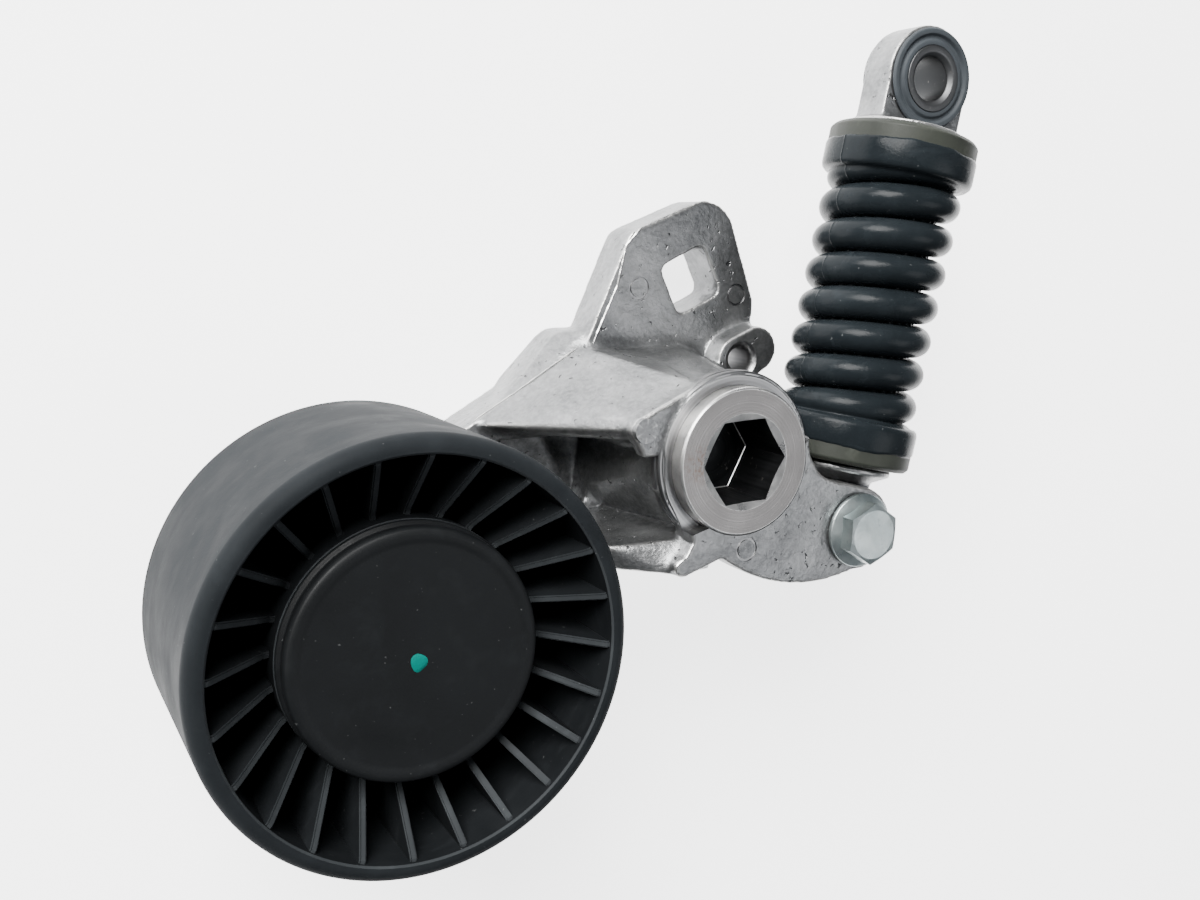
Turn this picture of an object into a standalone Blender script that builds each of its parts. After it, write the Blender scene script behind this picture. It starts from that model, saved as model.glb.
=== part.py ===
"""Belt tensioner idler: cast arm on a pivot pin, smooth pulley and a sprung hydraulic strut.

Frame: origin on the pivot axis at the rear mounting face, +Z along that axis away from the
engine. Looking down on the front, the pulley lies to the lower left and the strut runs up to
the right. Lengths are in millimetres and are scaled to metres when a mesh is made.
"""
import bpy
import bmesh
import math
from mathutils import Matrix, Vector

MM = 0.001
GAP = 0.3                     # clearance between touching pieces

# ---- driving dimensions (mm) ------------------------------------------------------------
FRONT_Z = 58.0                # machined face of the pivot pin head
PIVOT_PIN_R = 12.5
PIN_HEAD_R = 16.9
PIN_HEAD_T = 7.0
HEX_FLATS = 19.0              # hex socket in the pin head
HEX_DEPTH = 16.0
HEX_TURN = math.radians(2.0)
COUNTERSINK_R = 11.3
COUNTERSINK_DEPTH = 0.5
COUNTERSINK_FLOOR_R = 9.4
THREAD_DEPTH = 30.0
THREAD_BORE_R = 6.0           # internal thread for the engine stud
BUSH_WALL = 2.0

ARM_REAR_Z = 4.0
ARM_FRONT_Z = 18.5
LUG_REAR_Z = 6.5
EAR_FRONT_Z = 25.0
RING_R = 20.2
RING_FRONT_Z = 54.0
RING_REAR_Z = 49.5
BARREL_TOP_R = 17.6
BARREL_BASE_R = 23.5

PULLEY_X, PULLEY_Y = -82.0, -30.0
PULLEY_R = 45.0
PULLEY_W = 49.5
PULLEY_REAR_Z = 21.0
PULLEY_WALL = 4.1
RIM_ROUND = 3.0               # outer corner of the front rim
RIB_COUNT = 24
RIB_T = 1.5
RIB_TURN = math.radians(10.8)
RIB_ROOT_Z = 56.3             # rib front edge at the hub; it climbs from here to the rim
RIB_TIP_DROP = 0.8            # rib front edge below the rim's crest
HUB_R = 26.6
HUB_FRONT_Z = 60.0
CAP_FRONT_Z = 66.0
CAP_R = 26.1
CAP_WALL = 1.8
BOSS_R = 17.0
BEARING_BORE_R = 8.5          # 17 x 47 x 14 deep groove ball bearing
BEARING_R = 23.5
BEARING_W = 14.0
BALL_R = 4.4
BALL_COUNT = 8
BALL_PITCH_R = 16.0

BOLT_X, BOLT_Y = 33.1, -19.6  # strut bolt in the arm's lever plate
PLATE_FRONT_Z = 57.6
PLATE_REAR_Z = 50.4
STRUT_Z = 44.0
EYE_HALF_W = 4.9              # cast eye; the rubber lips stand proud of it
LIP_HALF_W = 6.0
SLEEVE_HALF_W = 6.1
EYE_SLEEVE_REAR = 6.8         # the upper sleeve reaches further back than the lower one
STRUT_L = 109.8               # eye to eye with the strut fully extended
STRUT_LEAN = math.radians(12.8)
LOWER_SEAT_S = 15.0           # stations along the strut, from the lower eye
UPPER_SEAT_S = 96.2
SEAT_R = 16.9
SEAT_T = 2.4
SEAT_H = 7.0
CUFF_R = 18.4
CUFF_H = 11.0
CUFF_LAP = 4.0                # how far the cuff stops short of the seat's end face
BOOT_R = 16.9                 # crest and root of the spiral folds
BOOT_ROOT_R = 13.0
BOOT_WALL = 1.1
FOLD_PITCH = 8.3
FOLD_START_S = 31.7           # station of a crest where it faces the right-hand side
SPRING_R = 12.5
SPRING_WIRE_R = 2.3
CYL_R = 9.0                   # oil cylinder and what runs in it
CYL_BORE_R = 6.0
CYL_TOP_S = 60.0
ROD_R = 4.4
PISTON_S = 41.0
PISTON_H = 6.0
BOLT_R = 4.0                  # M8 flange bolt and nut through the lower eye
BOLT_FLATS = 13.0
BOLT_FLANGE_R = 9.0
BOLT_TURN = math.radians(26.0)
NUT_TURN = math.radians(20.0)

WINDOW_X, WINDOW_Y = 9.2, 39.1
WINDOW_SIDE = 13.4            # square hole for a half-inch drive
WINDOW_TURN = math.radians(24.0)
EAR_HOLE_X, EAR_HOLE_Y = 20.6, 19.0
EAR_HOLE_R = 3.0


# ---- scene and material helpers ---------------------------------------------------------
def clear_scene():
    for ob in list(bpy.data.objects):
        bpy.data.objects.remove(ob, do_unlink=True)


def material(name, colour, roughness, metallic):
    mat = bpy.data.materials.new(name)
    mat.use_nodes = True
    shader = mat.node_tree.nodes["Principled BSDF"]
    shader.inputs["Base Color"].default_value = (*colour, 1.0)
    shader.inputs["Roughness"].default_value = roughness
    shader.inputs["Metallic"].default_value = metallic
    return mat


def empty(name, location, turn=0.0, parent=None):
    ob = bpy.data.objects.new(name, None)
    bpy.context.scene.collection.objects.link(ob)
    ob.location = Vector(location) * MM
    ob.rotation_euler = (0.0, 0.0, turn)
    ob.parent = parent
    return ob


def finish_mesh(name, bm, smooth_deg=35.0):
    """Turn a bmesh in millimetres into a linked object in metres."""
    bmesh.ops.recalc_face_normals(bm, faces=bm.faces)
    if bm.calc_volume(signed=True) < 0:
        bmesh.ops.reverse_faces(bm, faces=bm.faces)
    bmesh.ops.scale(bm, vec=(MM, MM, MM), verts=bm.verts)
    mesh = bpy.data.meshes.new(name)
    bm.to_mesh(mesh)
    bm.free()
    mesh.shade_smooth()
    mesh.set_sharp_from_angle(angle=math.radians(smooth_deg))
    ob = bpy.data.objects.new(name, mesh)
    bpy.context.scene.collection.objects.link(ob)
    return ob


def place(ob, mat, parent=None, along_strut=False):
    """Give a piece its material and hang it on its axis empty."""
    ob.data.materials.clear()
    ob.data.materials.append(mat)
    ob.parent = parent
    if along_strut:
        ob.rotation_euler = (-math.pi / 2, 0.0, 0.0)
    return ob


# ---- shape helpers ----------------------------------------------------------------------
def lathe(name, profile, segments, centre=(0.0, 0.0), start=0.0):
    """Solid of revolution about Z from a closed (radius, z) outline."""
    bm = bmesh.new()
    rings = []
    for radius, z in profile:
        if radius < 1e-6:
            rings.append([bm.verts.new((centre[0], centre[1], z))])
            continue
        ring = []
        for i in range(segments):
            a = start + 2 * math.pi * i / segments
            ring.append(bm.verts.new((centre[0] + radius * math.cos(a),
                                      centre[1] + radius * math.sin(a), z)))
        rings.append(ring)
    for low, high in zip(rings, rings[1:] + rings[:1]):
        if len(low) == 1 and len(high) == 1:
            continue
        for i in range(segments):
            j = (i + 1) % segments
            if len(low) == 1:
                bm.faces.new((low[0], high[j], high[i]))
            elif len(high) == 1:
                bm.faces.new((low[i], low[j], high[0]))
            else:
                bm.faces.new((low[i], low[j], high[j], high[i]))
    return finish_mesh(name, bm)


def tube(name, r_in, r_out, z0, z1, segments, chamfer=0.0, centre=(0.0, 0.0)):
    """Plain ring with an optional chamfer on the outer corners."""
    c = chamfer
    profile = [(r_in, z0), (r_out - c, z0)]
    if c:
        profile.append((r_out, z0 + c))
        profile.append((r_out, z1 - c))
    profile += [(r_out - c, z1), (r_in, z1)]
    return lathe(name, profile, segments, centre)


def disc(name, radius, z0, z1, segments, centre=(0.0, 0.0), top_radius=None):
    """Solid cylinder or cone with closed ends."""
    top = radius if top_radius is None else top_radius
    return lathe(name, [(0, z0), (radius, z0), (top, z1), (0, z1)], segments, centre)


def arc(cx, cy, radius, start_deg, end_deg, steps):
    points = []
    for i in range(steps + 1):
        a = math.radians(start_deg + (end_deg - start_deg) * i / steps)
        points.append((cx + radius * math.cos(a), cy + radius * math.sin(a)))
    return points


def prism(name, outline, z0, z1):
    """Straight extrusion of a flat outline."""
    bm = bmesh.new()
    low = [bm.verts.new((x, y, z0)) for x, y in outline]
    high = [bm.verts.new((x, y, z1)) for x, y in outline]
    bm.faces.new(low)
    bm.faces.new(high)
    for i in range(len(low)):
        j = (i + 1) % len(low)
        bm.faces.new((low[i], low[j], high[j], high[i]))
    return finish_mesh(name, bm)


def hull(name, points):
    """Convex solid round a set of points."""
    bm = bmesh.new()
    for p in points:
        bm.verts.new(p)
    result = bmesh.ops.convex_hull(bm, input=bm.verts)
    spare = [g for g in result["geom_interior"] if isinstance(g, bmesh.types.BMVert)]
    bmesh.ops.delete(bm, geom=spare, context="VERTS")
    return finish_mesh(name, bm)


def slab(name, circles, z0, z1, steps=16):
    """Convex plate wrapped round circles given as (x, y, radius)."""
    points = []
    for x, y, radius in circles:
        for px, py in arc(x, y, radius, 0, 360, steps)[:-1]:
            points.append((px, py, z0))
            points.append((px, py, z1))
    return hull(name, points)


def polygon(radius, count, turn, centre=(0.0, 0.0)):
    return [(centre[0] + radius * math.cos(turn + 2 * math.pi * i / count),
             centre[1] + radius * math.sin(turn + 2 * math.pi * i / count))
            for i in range(count)]


def rounded_square(cx, cy, side, radius, turn):
    """Outline of a square with round corners."""
    inner = side / 2 - radius
    points = []
    for k in range(4):
        a = math.pi / 4 + k * math.pi / 2
        corner = (inner * math.sqrt(2) * math.cos(a), inner * math.sqrt(2) * math.sin(a))
        for px, py in arc(corner[0], corner[1], radius, k * 90, k * 90 + 90, 4):
            points.append((px, py))
    c, s = math.cos(turn), math.sin(turn)
    return [(cx + x * c - y * s, cy + x * s + y * c) for x, y in points]


def combine(base, tool, operation):
    """Boolean the tool into the base, keep the result and drop the tool."""
    mod = base.modifiers.new("combine", "BOOLEAN")
    mod.operation = operation
    mod.solver = "EXACT"
    mod.object = tool
    graph = bpy.context.evaluated_depsgraph_get()
    graph.update()
    mesh = bpy.data.meshes.new_from_object(base.evaluated_get(graph))
    base.modifiers.clear()
    base.data = mesh
    mesh.shade_smooth()
    mesh.set_sharp_from_angle(angle=math.radians(35.0))
    bpy.data.objects.remove(tool, do_unlink=True)


def join(base, *tools):
    for tool in tools:
        combine(base, tool, "UNION")
    return base


def cut(base, *tools):
    for tool in tools:
        combine(base, tool, "DIFFERENCE")
    return base


# ---- pivot ------------------------------------------------------------------------------
def make_pivot(steel, bronze, rubber, axis):
    head_z = FRONT_Z - PIN_HEAD_T
    pin = lathe("pivot_pin", [
        (THREAD_BORE_R, 0), (PIVOT_PIN_R - 0.8, 0), (PIVOT_PIN_R, 0.5), (PIVOT_PIN_R, 0.8),
        (PIVOT_PIN_R - 1.2, 0.8), (PIVOT_PIN_R - 1.2, 2.0), (PIVOT_PIN_R, 2.0),
        (PIVOT_PIN_R, head_z), (PIN_HEAD_R, head_z), (PIN_HEAD_R, FRONT_Z - 0.7),
        (PIN_HEAD_R - 0.7, FRONT_Z), (COUNTERSINK_R, FRONT_Z),
        (COUNTERSINK_FLOOR_R, FRONT_Z - COUNTERSINK_DEPTH), (0, FRONT_Z - COUNTERSINK_DEPTH),
        (0, THREAD_DEPTH), (THREAD_BORE_R, THREAD_DEPTH),
    ], 40)
    corner_r = HEX_FLATS / math.sqrt(3)
    socket = prism("socket", polygon(corner_r, 6, HEX_TURN), FRONT_Z - HEX_DEPTH, FRONT_Z + 1)
    cut(pin, socket)
    place(pin, steel, axis)
    place(tube("front_bush", PIVOT_PIN_R + GAP, PIVOT_PIN_R + GAP + BUSH_WALL, 34, 49, 32),
          bronze, axis)
    place(tube("rear_bush", PIVOT_PIN_R + GAP, PIVOT_PIN_R + GAP + BUSH_WALL, 5, 22, 32),
          bronze, axis)
    place(tube("front_seal_ring", PIVOT_PIN_R + GAP, 14.6, 49.3, 50.7, 32), rubber, axis)
    place(tube("rear_thrust_washer", PIVOT_PIN_R + GAP, 20.0, 2.3, 3.7, 32), steel, axis)
    place(tube("retaining_ring", PIVOT_PIN_R - 0.9, 15.2, 1.0, 1.8, 32), steel, axis)


# ---- arm casting ------------------------------------------------------------------------
def lever_plate():
    """Front plate that carries the strut bolt, from the tail round to the pin head."""
    outline = arc(21, 12, 43.2, 232, 285, 10)
    outline += arc(BOLT_X, BOLT_Y, 10.3, -80, 70, 10)
    outline += [(30.5, -8.2), (24.6, -6.6), (20.8, -3.9), (18.6, 0.0)]
    outline += arc(0, 0, 18.6, 10, 215, 16)
    outline += [(-13.4, -17.6), (-15.2, -20.4)]
    outline += arc(-15.9, -23.0, 2.2, 130, 290, 6)
    return prism("lever_plate", outline, PLATE_REAR_Z, PLATE_FRONT_Z)


def upper_wall():
    """Wall whose ridge climbs from the arm to the front ring, with a broad outer flank."""
    return hull("upper_wall", [
        (-50.0, 6.4, 8), (-46.0, 3.6, 8), (-12.0, 4.0, 8), (-6.0, 22.8, 8), (-21.0, 23.6, 8),
        (-50.0, 6.4, 17.5), (-45.5, 4.6, 18.0), (-21.0, 23.6, 17.5), (-6.0, 22.8, 17.5),
        (-24.5, 10.8, 50.2), (-26.0, 8.2, 50.0), (-24.0, 5.6, 50.2), (-10, 4.0, 52),
        (-9.0, 17.8, 52), (-36.0, 10.4, 33.0), (-37.0, 6.4, 33.0),
    ])


def lower_wall():
    return hull("lower_wall", [
        (-36.5, -25.5, 8), (-36.5, -19.5, 8), (-8.0, -26.0, 8), (-8.0, -16.0, 8),
        (-35.5, -25.0, 20), (-35.5, -19.5, 20), (-30.5, -23.2, 49.5), (-30.5, -18.0, 49.5),
        (-17.0, -24.8, 57.0), (-15.0, -20.0, 57.0), (-8.0, -24.6, 56.0), (-8.0, -17.0, 56.0),
    ])


def make_arm(alloy, axis):
    arm = slab("tensioner_arm", [(0, 0, BARREL_BASE_R), (-19.3, 21.0, 3.0),
                                 (PULLEY_X, PULLEY_Y, BOSS_R)], ARM_REAR_Z, ARM_FRONT_Z, 24)
    lug = slab("lug", [(-3.8, 46.4, 6.0), (13.2, 49.6, 9.0), (24.4, 32.6, 4.0),
                       (-16.6, 22.0, 3.6), (20.0, 14.0, 6.0)], LUG_REAR_Z, ARM_FRONT_Z)
    ear = slab("ear", [(25.4, 21.4, 5.8), (20.0, 18.6, 6.4)], LUG_REAR_Z, EAR_FRONT_Z)
    barrel = disc("barrel", BARREL_BASE_R, 16.0, 52.0, 28, top_radius=BARREL_TOP_R)
    ring = slab("ring", [(0, 0, RING_R), (-23.6, 8.4, 2.9)], RING_REAR_Z, RING_FRONT_Z, 32)
    swell = slab("swell", [(-23.0, 21.0, 6.4), (-34.0, 12.0, 5.0)], ARM_REAR_Z, ARM_REAR_Z + 8)
    join(arm, lug, ear, barrel, ring, swell, upper_wall(), lower_wall(), lever_plate())
    pocket = prism("pocket", [(-62, -32), (-40, -18.6), (-21, -14.6), (-18.5, 2.2), (-44, 2.2),
                              (-62, -10)], 11.0, 60.0)
    window = prism("window", rounded_square(WINDOW_X, WINDOW_Y, WINDOW_SIDE, 1.8, WINDOW_TURN),
                   LUG_REAR_Z - 2, ARM_FRONT_Z + 2)
    ear_hole = disc("ear_hole", EAR_HOLE_R, 0, 30, 24, (EAR_HOLE_X, EAR_HOLE_Y))
    ear_rim = disc("ear_rim", EAR_HOLE_R, EAR_FRONT_Z - 1.6, EAR_FRONT_Z + 1.0, 24,
                   (EAR_HOLE_X, EAR_HOLE_Y), EAR_HOLE_R + 2.4)
    bore = disc("bore", PIVOT_PIN_R + 2 * GAP + BUSH_WALL, 0, 52, 28)
    recess = disc("recess", PIN_HEAD_R + GAP, FRONT_Z - PIN_HEAD_T - GAP, 60, 36)
    land = lathe("land", [(RING_R + 0.6, RING_FRONT_Z + 0.01), (RING_R + 0.6, 60), (17.0, 60),
                          (17.0, RING_FRONT_Z + 0.01)], 36)
    plate_keep = prism("plate_keep", [(-17, -16.6), (0, -12), (12, -4), (24, 12), (60, 12),
                                      (60, -60), (-40, -60), (-40, -16.6)], 50, 62)
    cut(land, plate_keep)
    bolt_hole = disc("bolt_hole", BOLT_R + 0.5, 40, 60, 24, (BOLT_X, BOLT_Y))
    pulley_hole = disc("pulley_hole", 5.4, 0, 30, 24, (PULLEY_X, PULLEY_Y))
    cut(arm, pocket, window, ear_hole, ear_rim, bore, recess, land, bolt_hole, pulley_hole)
    relief = strut_relief()
    cut(arm, relief)
    return place(arm, alloy, axis)


def strut_relief():
    """Scoop that keeps the barrel clear of the strut's lower seat and boot."""
    ob = disc("relief", CUFF_R + 0.9, LOWER_SEAT_S - 2.0, 90, 28)
    lean = Matrix.Rotation(-STRUT_LEAN, 4, "Z") @ Matrix.Rotation(-math.pi / 2, 4, "X")
    spot = Matrix.Translation(Vector((BOLT_X, BOLT_Y, STRUT_Z)) * MM)
    ob.data.transform(spot @ lean)
    return ob


# ---- pulley and its bearing -------------------------------------------------------------
def make_pulley(plastic, steel, dark, cage_mat, rubber, zinc, axis):
    front = PULLEY_REAR_Z + PULLEY_W
    mid = PULLEY_REAR_Z + PULLEY_W / 2
    web0, web1 = mid - 8.0, mid - 4.0         # rear and front of the web at the rim
    b0, b1 = mid - BEARING_W / 2, mid + BEARING_W / 2
    inner = PULLEY_R - PULLEY_WALL
    hub_in = BEARING_R + GAP
    shoulder_r = PULLEY_R - RIM_ROUND
    profile = [(PULLEY_R - 0.8, PULLEY_REAR_Z), (PULLEY_R, PULLEY_REAR_Z + 0.8)]
    profile += arc(shoulder_r, front - RIM_ROUND, RIM_ROUND, 0, 90, 3)
    profile += [
        (inner, front), (inner, web1 + 1.5), (HUB_R, web1 - 3.0), (HUB_R, HUB_FRONT_Z),
        (hub_in, HUB_FRONT_Z), (hub_in, b0 - GAP), (hub_in - 2.0, b0 - GAP),
        (hub_in - 2.0, web0 - 5.0), (HUB_R + 0.6, web0 - 5.0), (HUB_R + 0.6, web0),
        (inner, web0), (inner, PULLEY_REAR_Z)]
    pulley = lathe("pulley", profile, 48)
    half = RIB_T / 2
    root, tip = HUB_R - 1.3, inner + 1.2
    tip_z = front - RIB_TIP_DROP
    for k in range(RIB_COUNT):
        turn = Matrix.Rotation(RIB_TURN + 2 * math.pi * k / RIB_COUNT, 4, "Z")
        rib = hull("rib", [(x, y, z) for y in (-half, half) for x, z in (
            (root, web0 + 1), (root, RIB_ROOT_Z), (inner, tip_z), (tip, tip_z), (tip, web0 + 1))])
        rib.data.transform(turn)
        combine(pulley, rib, "UNION")
    place(pulley, plastic, axis)

    groove = [(math.cos(math.radians(a)), math.sin(math.radians(a))) for a in (-52, -26, 0, 26, 52)]
    race = BALL_R + 0.35
    shoulder = race * groove[0][0]
    outer_land, inner_land = BALL_PITCH_R + shoulder, BALL_PITCH_R - shoulder
    outer_profile = [(BEARING_R, b0), (BEARING_R, b1), (20.4, b1), (20.4, mid + 5.2),
                     (outer_land, mid + 5.2)]
    outer_profile += [(BALL_PITCH_R + race * c, mid - race * s) for c, s in groove]
    outer_profile += [(outer_land, mid - 5.2), (20.4, mid - 5.2), (20.4, b0)]
    place(lathe("bearing_outer_ring", outer_profile, 32), steel, axis)
    inner_profile = [(BEARING_BORE_R + GAP, b0), (12.4, b0), (12.4, mid - 5.2),
                     (inner_land, mid - 5.2)]
    inner_profile += [(BALL_PITCH_R - race * c, mid + race * s) for c, s in groove]
    inner_profile += [(inner_land, mid + 5.2), (12.4, mid + 5.2), (12.4, b1),
                      (BEARING_BORE_R + GAP, b1)]
    place(lathe("bearing_inner_ring", inner_profile, 24), steel, axis)
    make_balls(mid, steel, cage_mat, axis)
    for name, z0 in (("bearing_seal_front", b1 - 1.6), ("bearing_seal_rear", b0 + 0.6)):
        place(tube(name, 12.9, 20.1, z0, z0 + 1.0, 32), rubber, axis)

    flange_z = HUB_FRONT_Z + GAP
    skirt_in = hub_in - 1.5
    place(lathe("dust_cap", [
        (0, CAP_FRONT_Z - CAP_WALL), (skirt_in, CAP_FRONT_Z - CAP_WALL), (skirt_in, b1 + 2.6),
        (hub_in - 0.9, b1 + 0.6), (hub_in - 0.5, b1 + 0.6), (hub_in - 0.5, flange_z),
        (HUB_R - 0.1, flange_z), (HUB_R - 0.1, flange_z + 1.4), (CAP_R, flange_z + 1.8),
        (CAP_R, CAP_FRONT_Z - 1.5), (CAP_R - 0.5, CAP_FRONT_Z - 0.5), (CAP_R - 1.5, CAP_FRONT_Z),
        (0, CAP_FRONT_Z)], 40), dark, axis)
    place(lathe("pulley_spacer", [(5.6, ARM_FRONT_Z + GAP), (12.0, ARM_FRONT_Z + GAP),
                                  (12.0, b0 - GAP), (5.6, b0 - GAP)], 32), steel, axis)
    shank = lathe("pulley_bolt", [
        (0, ARM_REAR_Z - 1.6), (4.6, ARM_REAR_Z - 1.6), (5.0, ARM_REAR_Z - 1.0), (5.0, b0 + 1.0),
        (8.4, b0 + 1.0), (8.4, b1 + GAP), (12.2, b1 + GAP), (12.2, b1 + 2.0), (9.2, b1 + 2.6),
        (0, b1 + 2.6)], 32)
    head = prism("head", polygon(16 / math.sqrt(3), 6, 0.3), b1 + 2.0, b1 + 8.4)
    place(join(shank, head), zinc, axis)


def make_balls(mid, steel, cage_mat, axis):
    """Ball set and a two-sided pocketed cage that turns with it."""
    cage = tube("bearing_cage", BALL_PITCH_R - 1.6, BALL_PITCH_R + 1.6, mid - 5.1, mid + 5.1, 32)
    for k in range(BALL_COUNT):
        a = 2 * math.pi * k / BALL_COUNT
        x, y = BALL_PITCH_R * math.cos(a), BALL_PITCH_R * math.sin(a)
        ball = uv_ball("bearing_ball_%d" % (k + 1), BALL_R - 0.15, (x, y, mid))
        place(ball, steel, axis)
        cut(cage, pocket_tool(a, mid))
    place(cage, cage_mat, axis)


def pocket_tool(angle, mid):
    """Radial cylinder that opens one ball pocket through the cage wall."""
    tool = disc("pocket", BALL_R + 0.1, BALL_PITCH_R - 5, BALL_PITCH_R + 5, 10)
    lie = Matrix.Rotation(angle, 4, "Z") @ Matrix.Rotation(math.pi / 2, 4, "Y")
    tool.data.transform(Matrix.Translation((0, 0, mid * MM)) @ lie)
    return tool


def uv_ball(name, radius, centre):
    bm = bmesh.new()
    bmesh.ops.create_uvsphere(bm, u_segments=10, v_segments=6, radius=radius,
                              matrix=Matrix.Translation(centre))
    return finish_mesh(name, bm)


# ---- strut ------------------------------------------------------------------------------
def eye_body(name, radius, neck_half, neck_end):
    """Flat eye of a strut end, in the strut frame: X across, Y along, Z the eye axis."""
    low, high = sorted((0.0, neck_end))
    body = disc(name, radius, -EYE_HALF_W, EYE_HALF_W, 36)
    z = EYE_HALF_W
    neck = hull("neck", [(sx * neck_half, y, sz * z) for sx in (-1, 1) for sz in (-1, 1)
                         for y in (low, high)])
    return join(body, neck)


def along(ob):
    """Lay a lathed solid along the strut, so its Z becomes the strut's Y."""
    ob.data.transform(Matrix.Rotation(-math.pi / 2, 4, "X"))
    return ob


def make_bush(prefix, r_body, r_lip, r_sleeve, r_bore, mouth, rear, rubber, steel, axis):
    """Rubber bush with a lip on both faces of the eye, bonded round a steel sleeve."""
    root, tip = EYE_HALF_W + GAP, LIP_HALF_W
    body = lathe(prefix + "_rubber_bush", [
        (r_sleeve + GAP, -tip), (r_lip, -tip), (r_lip, -root), (r_body, -root), (r_body, root),
        (r_lip, root), (r_lip, tip), (r_sleeve + GAP, tip)], 32)
    place(body, rubber, axis)
    sleeve = lathe(prefix + "_sleeve", [
        (r_bore, -rear), (r_sleeve, -rear), (r_sleeve, SLEEVE_HALF_W),
        (r_bore + mouth, SLEEVE_HALF_W), (r_bore, SLEEVE_HALF_W - mouth)], 32)
    place(sleeve, steel, axis)


def spring_seat(name, start, direction):
    """Pressed cup that locates one end of the spring and carries the boot's cuff."""
    d = direction
    profile = [(CYL_R + GAP, start), (SEAT_R, start), (SEAT_R, start + d * SEAT_H),
               (SEAT_R - 1.6, start + d * SEAT_H), (SEAT_R - 1.6, start + d * SEAT_T),
               (CYL_R + GAP, start + d * SEAT_T)]
    return lathe(name, profile, 32)


def make_lower_strut(alloy, steel, rubber, olive, bronze, axis):
    body = eye_body("strut_cylinder", 12.4, 9.0, LOWER_SEAT_S - 1.0)
    barrel = lathe("barrel", [
        (0, 11.0), (9.0, 11.0), (14.0, LOWER_SEAT_S - 1.6), (14.0, LOWER_SEAT_S - GAP),
        (CYL_R, LOWER_SEAT_S - GAP), (CYL_R, CYL_TOP_S), (CYL_BORE_R, CYL_TOP_S),
        (CYL_BORE_R, 21.0), (0, 21.0)], 28)
    join(body, along(barrel))
    cut(body, disc("hole", 10.2, -12, 12, 32))
    place(body, alloy, axis)
    make_bush("lower", 9.9, 10.7, 7.0, 4.3, 0.4, SLEEVE_HALF_W, rubber, steel, axis)
    place(spring_seat("lower_spring_seat", LOWER_SEAT_S, 1), olive, axis, True)
    guide_s = CYL_TOP_S - 8.0
    place(tube("rod_guide", ROD_R + GAP, CYL_BORE_R - GAP, guide_s, CYL_TOP_S - 1.0, 24),
          bronze, axis, True)
    place(tube("rod_seal", ROD_R + GAP, CYL_BORE_R - GAP, guide_s - 3.0, guide_s - GAP, 24),
          rubber, axis, True)


def make_upper_strut(alloy, steel, rubber, olive, lower_axis, eye_axis):
    s = UPPER_SEAT_S
    eye = eye_body("upper_eye", 12.5, 12.2, -11.5)
    flange = disc("flange", 14.4, s + GAP - STRUT_L, s + 1.3 - STRUT_L, 28)
    join(eye, along(flange))
    cut(eye, disc("hole", 10.3, -12, 12, 32))
    cut(eye, along(disc("rod_hole", ROD_R + GAP, s - 6 - STRUT_L, s + 1.4 - STRUT_L, 24)))
    place(eye, alloy, eye_axis)
    make_bush("upper", 10.0, 11.9, 7.8, 5.2, 1.0, EYE_SLEEVE_REAR, rubber, steel, eye_axis)
    place(spring_seat("upper_spring_seat", s, -1), olive, lower_axis, True)
    piston_top = PISTON_S + PISTON_H
    rod = lathe("piston_rod", [
        (0, PISTON_S - 1.5), (2.8, PISTON_S - 1.5), (2.8, piston_top + GAP),
        (ROD_R, piston_top + GAP), (ROD_R, s + 1.1), (0, s + 1.1)], 24)
    place(rod, steel, lower_axis, True)
    place(tube("piston", 3.1, CYL_BORE_R - GAP, PISTON_S, piston_top, 24), steel, lower_axis,
          True)


def crest_offset(angle, s):
    """Distance along the strut from a point to the nearest crest of the spiral, in pitches."""
    turn = (s - FOLD_START_S) / FOLD_PITCH - angle / (2 * math.pi)
    return turn - round(turn)


def fold_radius(angle, s, root, crest):
    u = crest_offset(angle, s)
    rise = math.sqrt(max(0.0, 1 - (u / 0.46) ** 2))
    from_cuff = min(s - (LOWER_SEAT_S + CUFF_H), (UPPER_SEAT_S - CUFF_H) - s)
    near_cuff = max(0.0, 1.0 - from_cuff / 3.0)
    return root + (crest - root) * max(rise, near_cuff)


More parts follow.
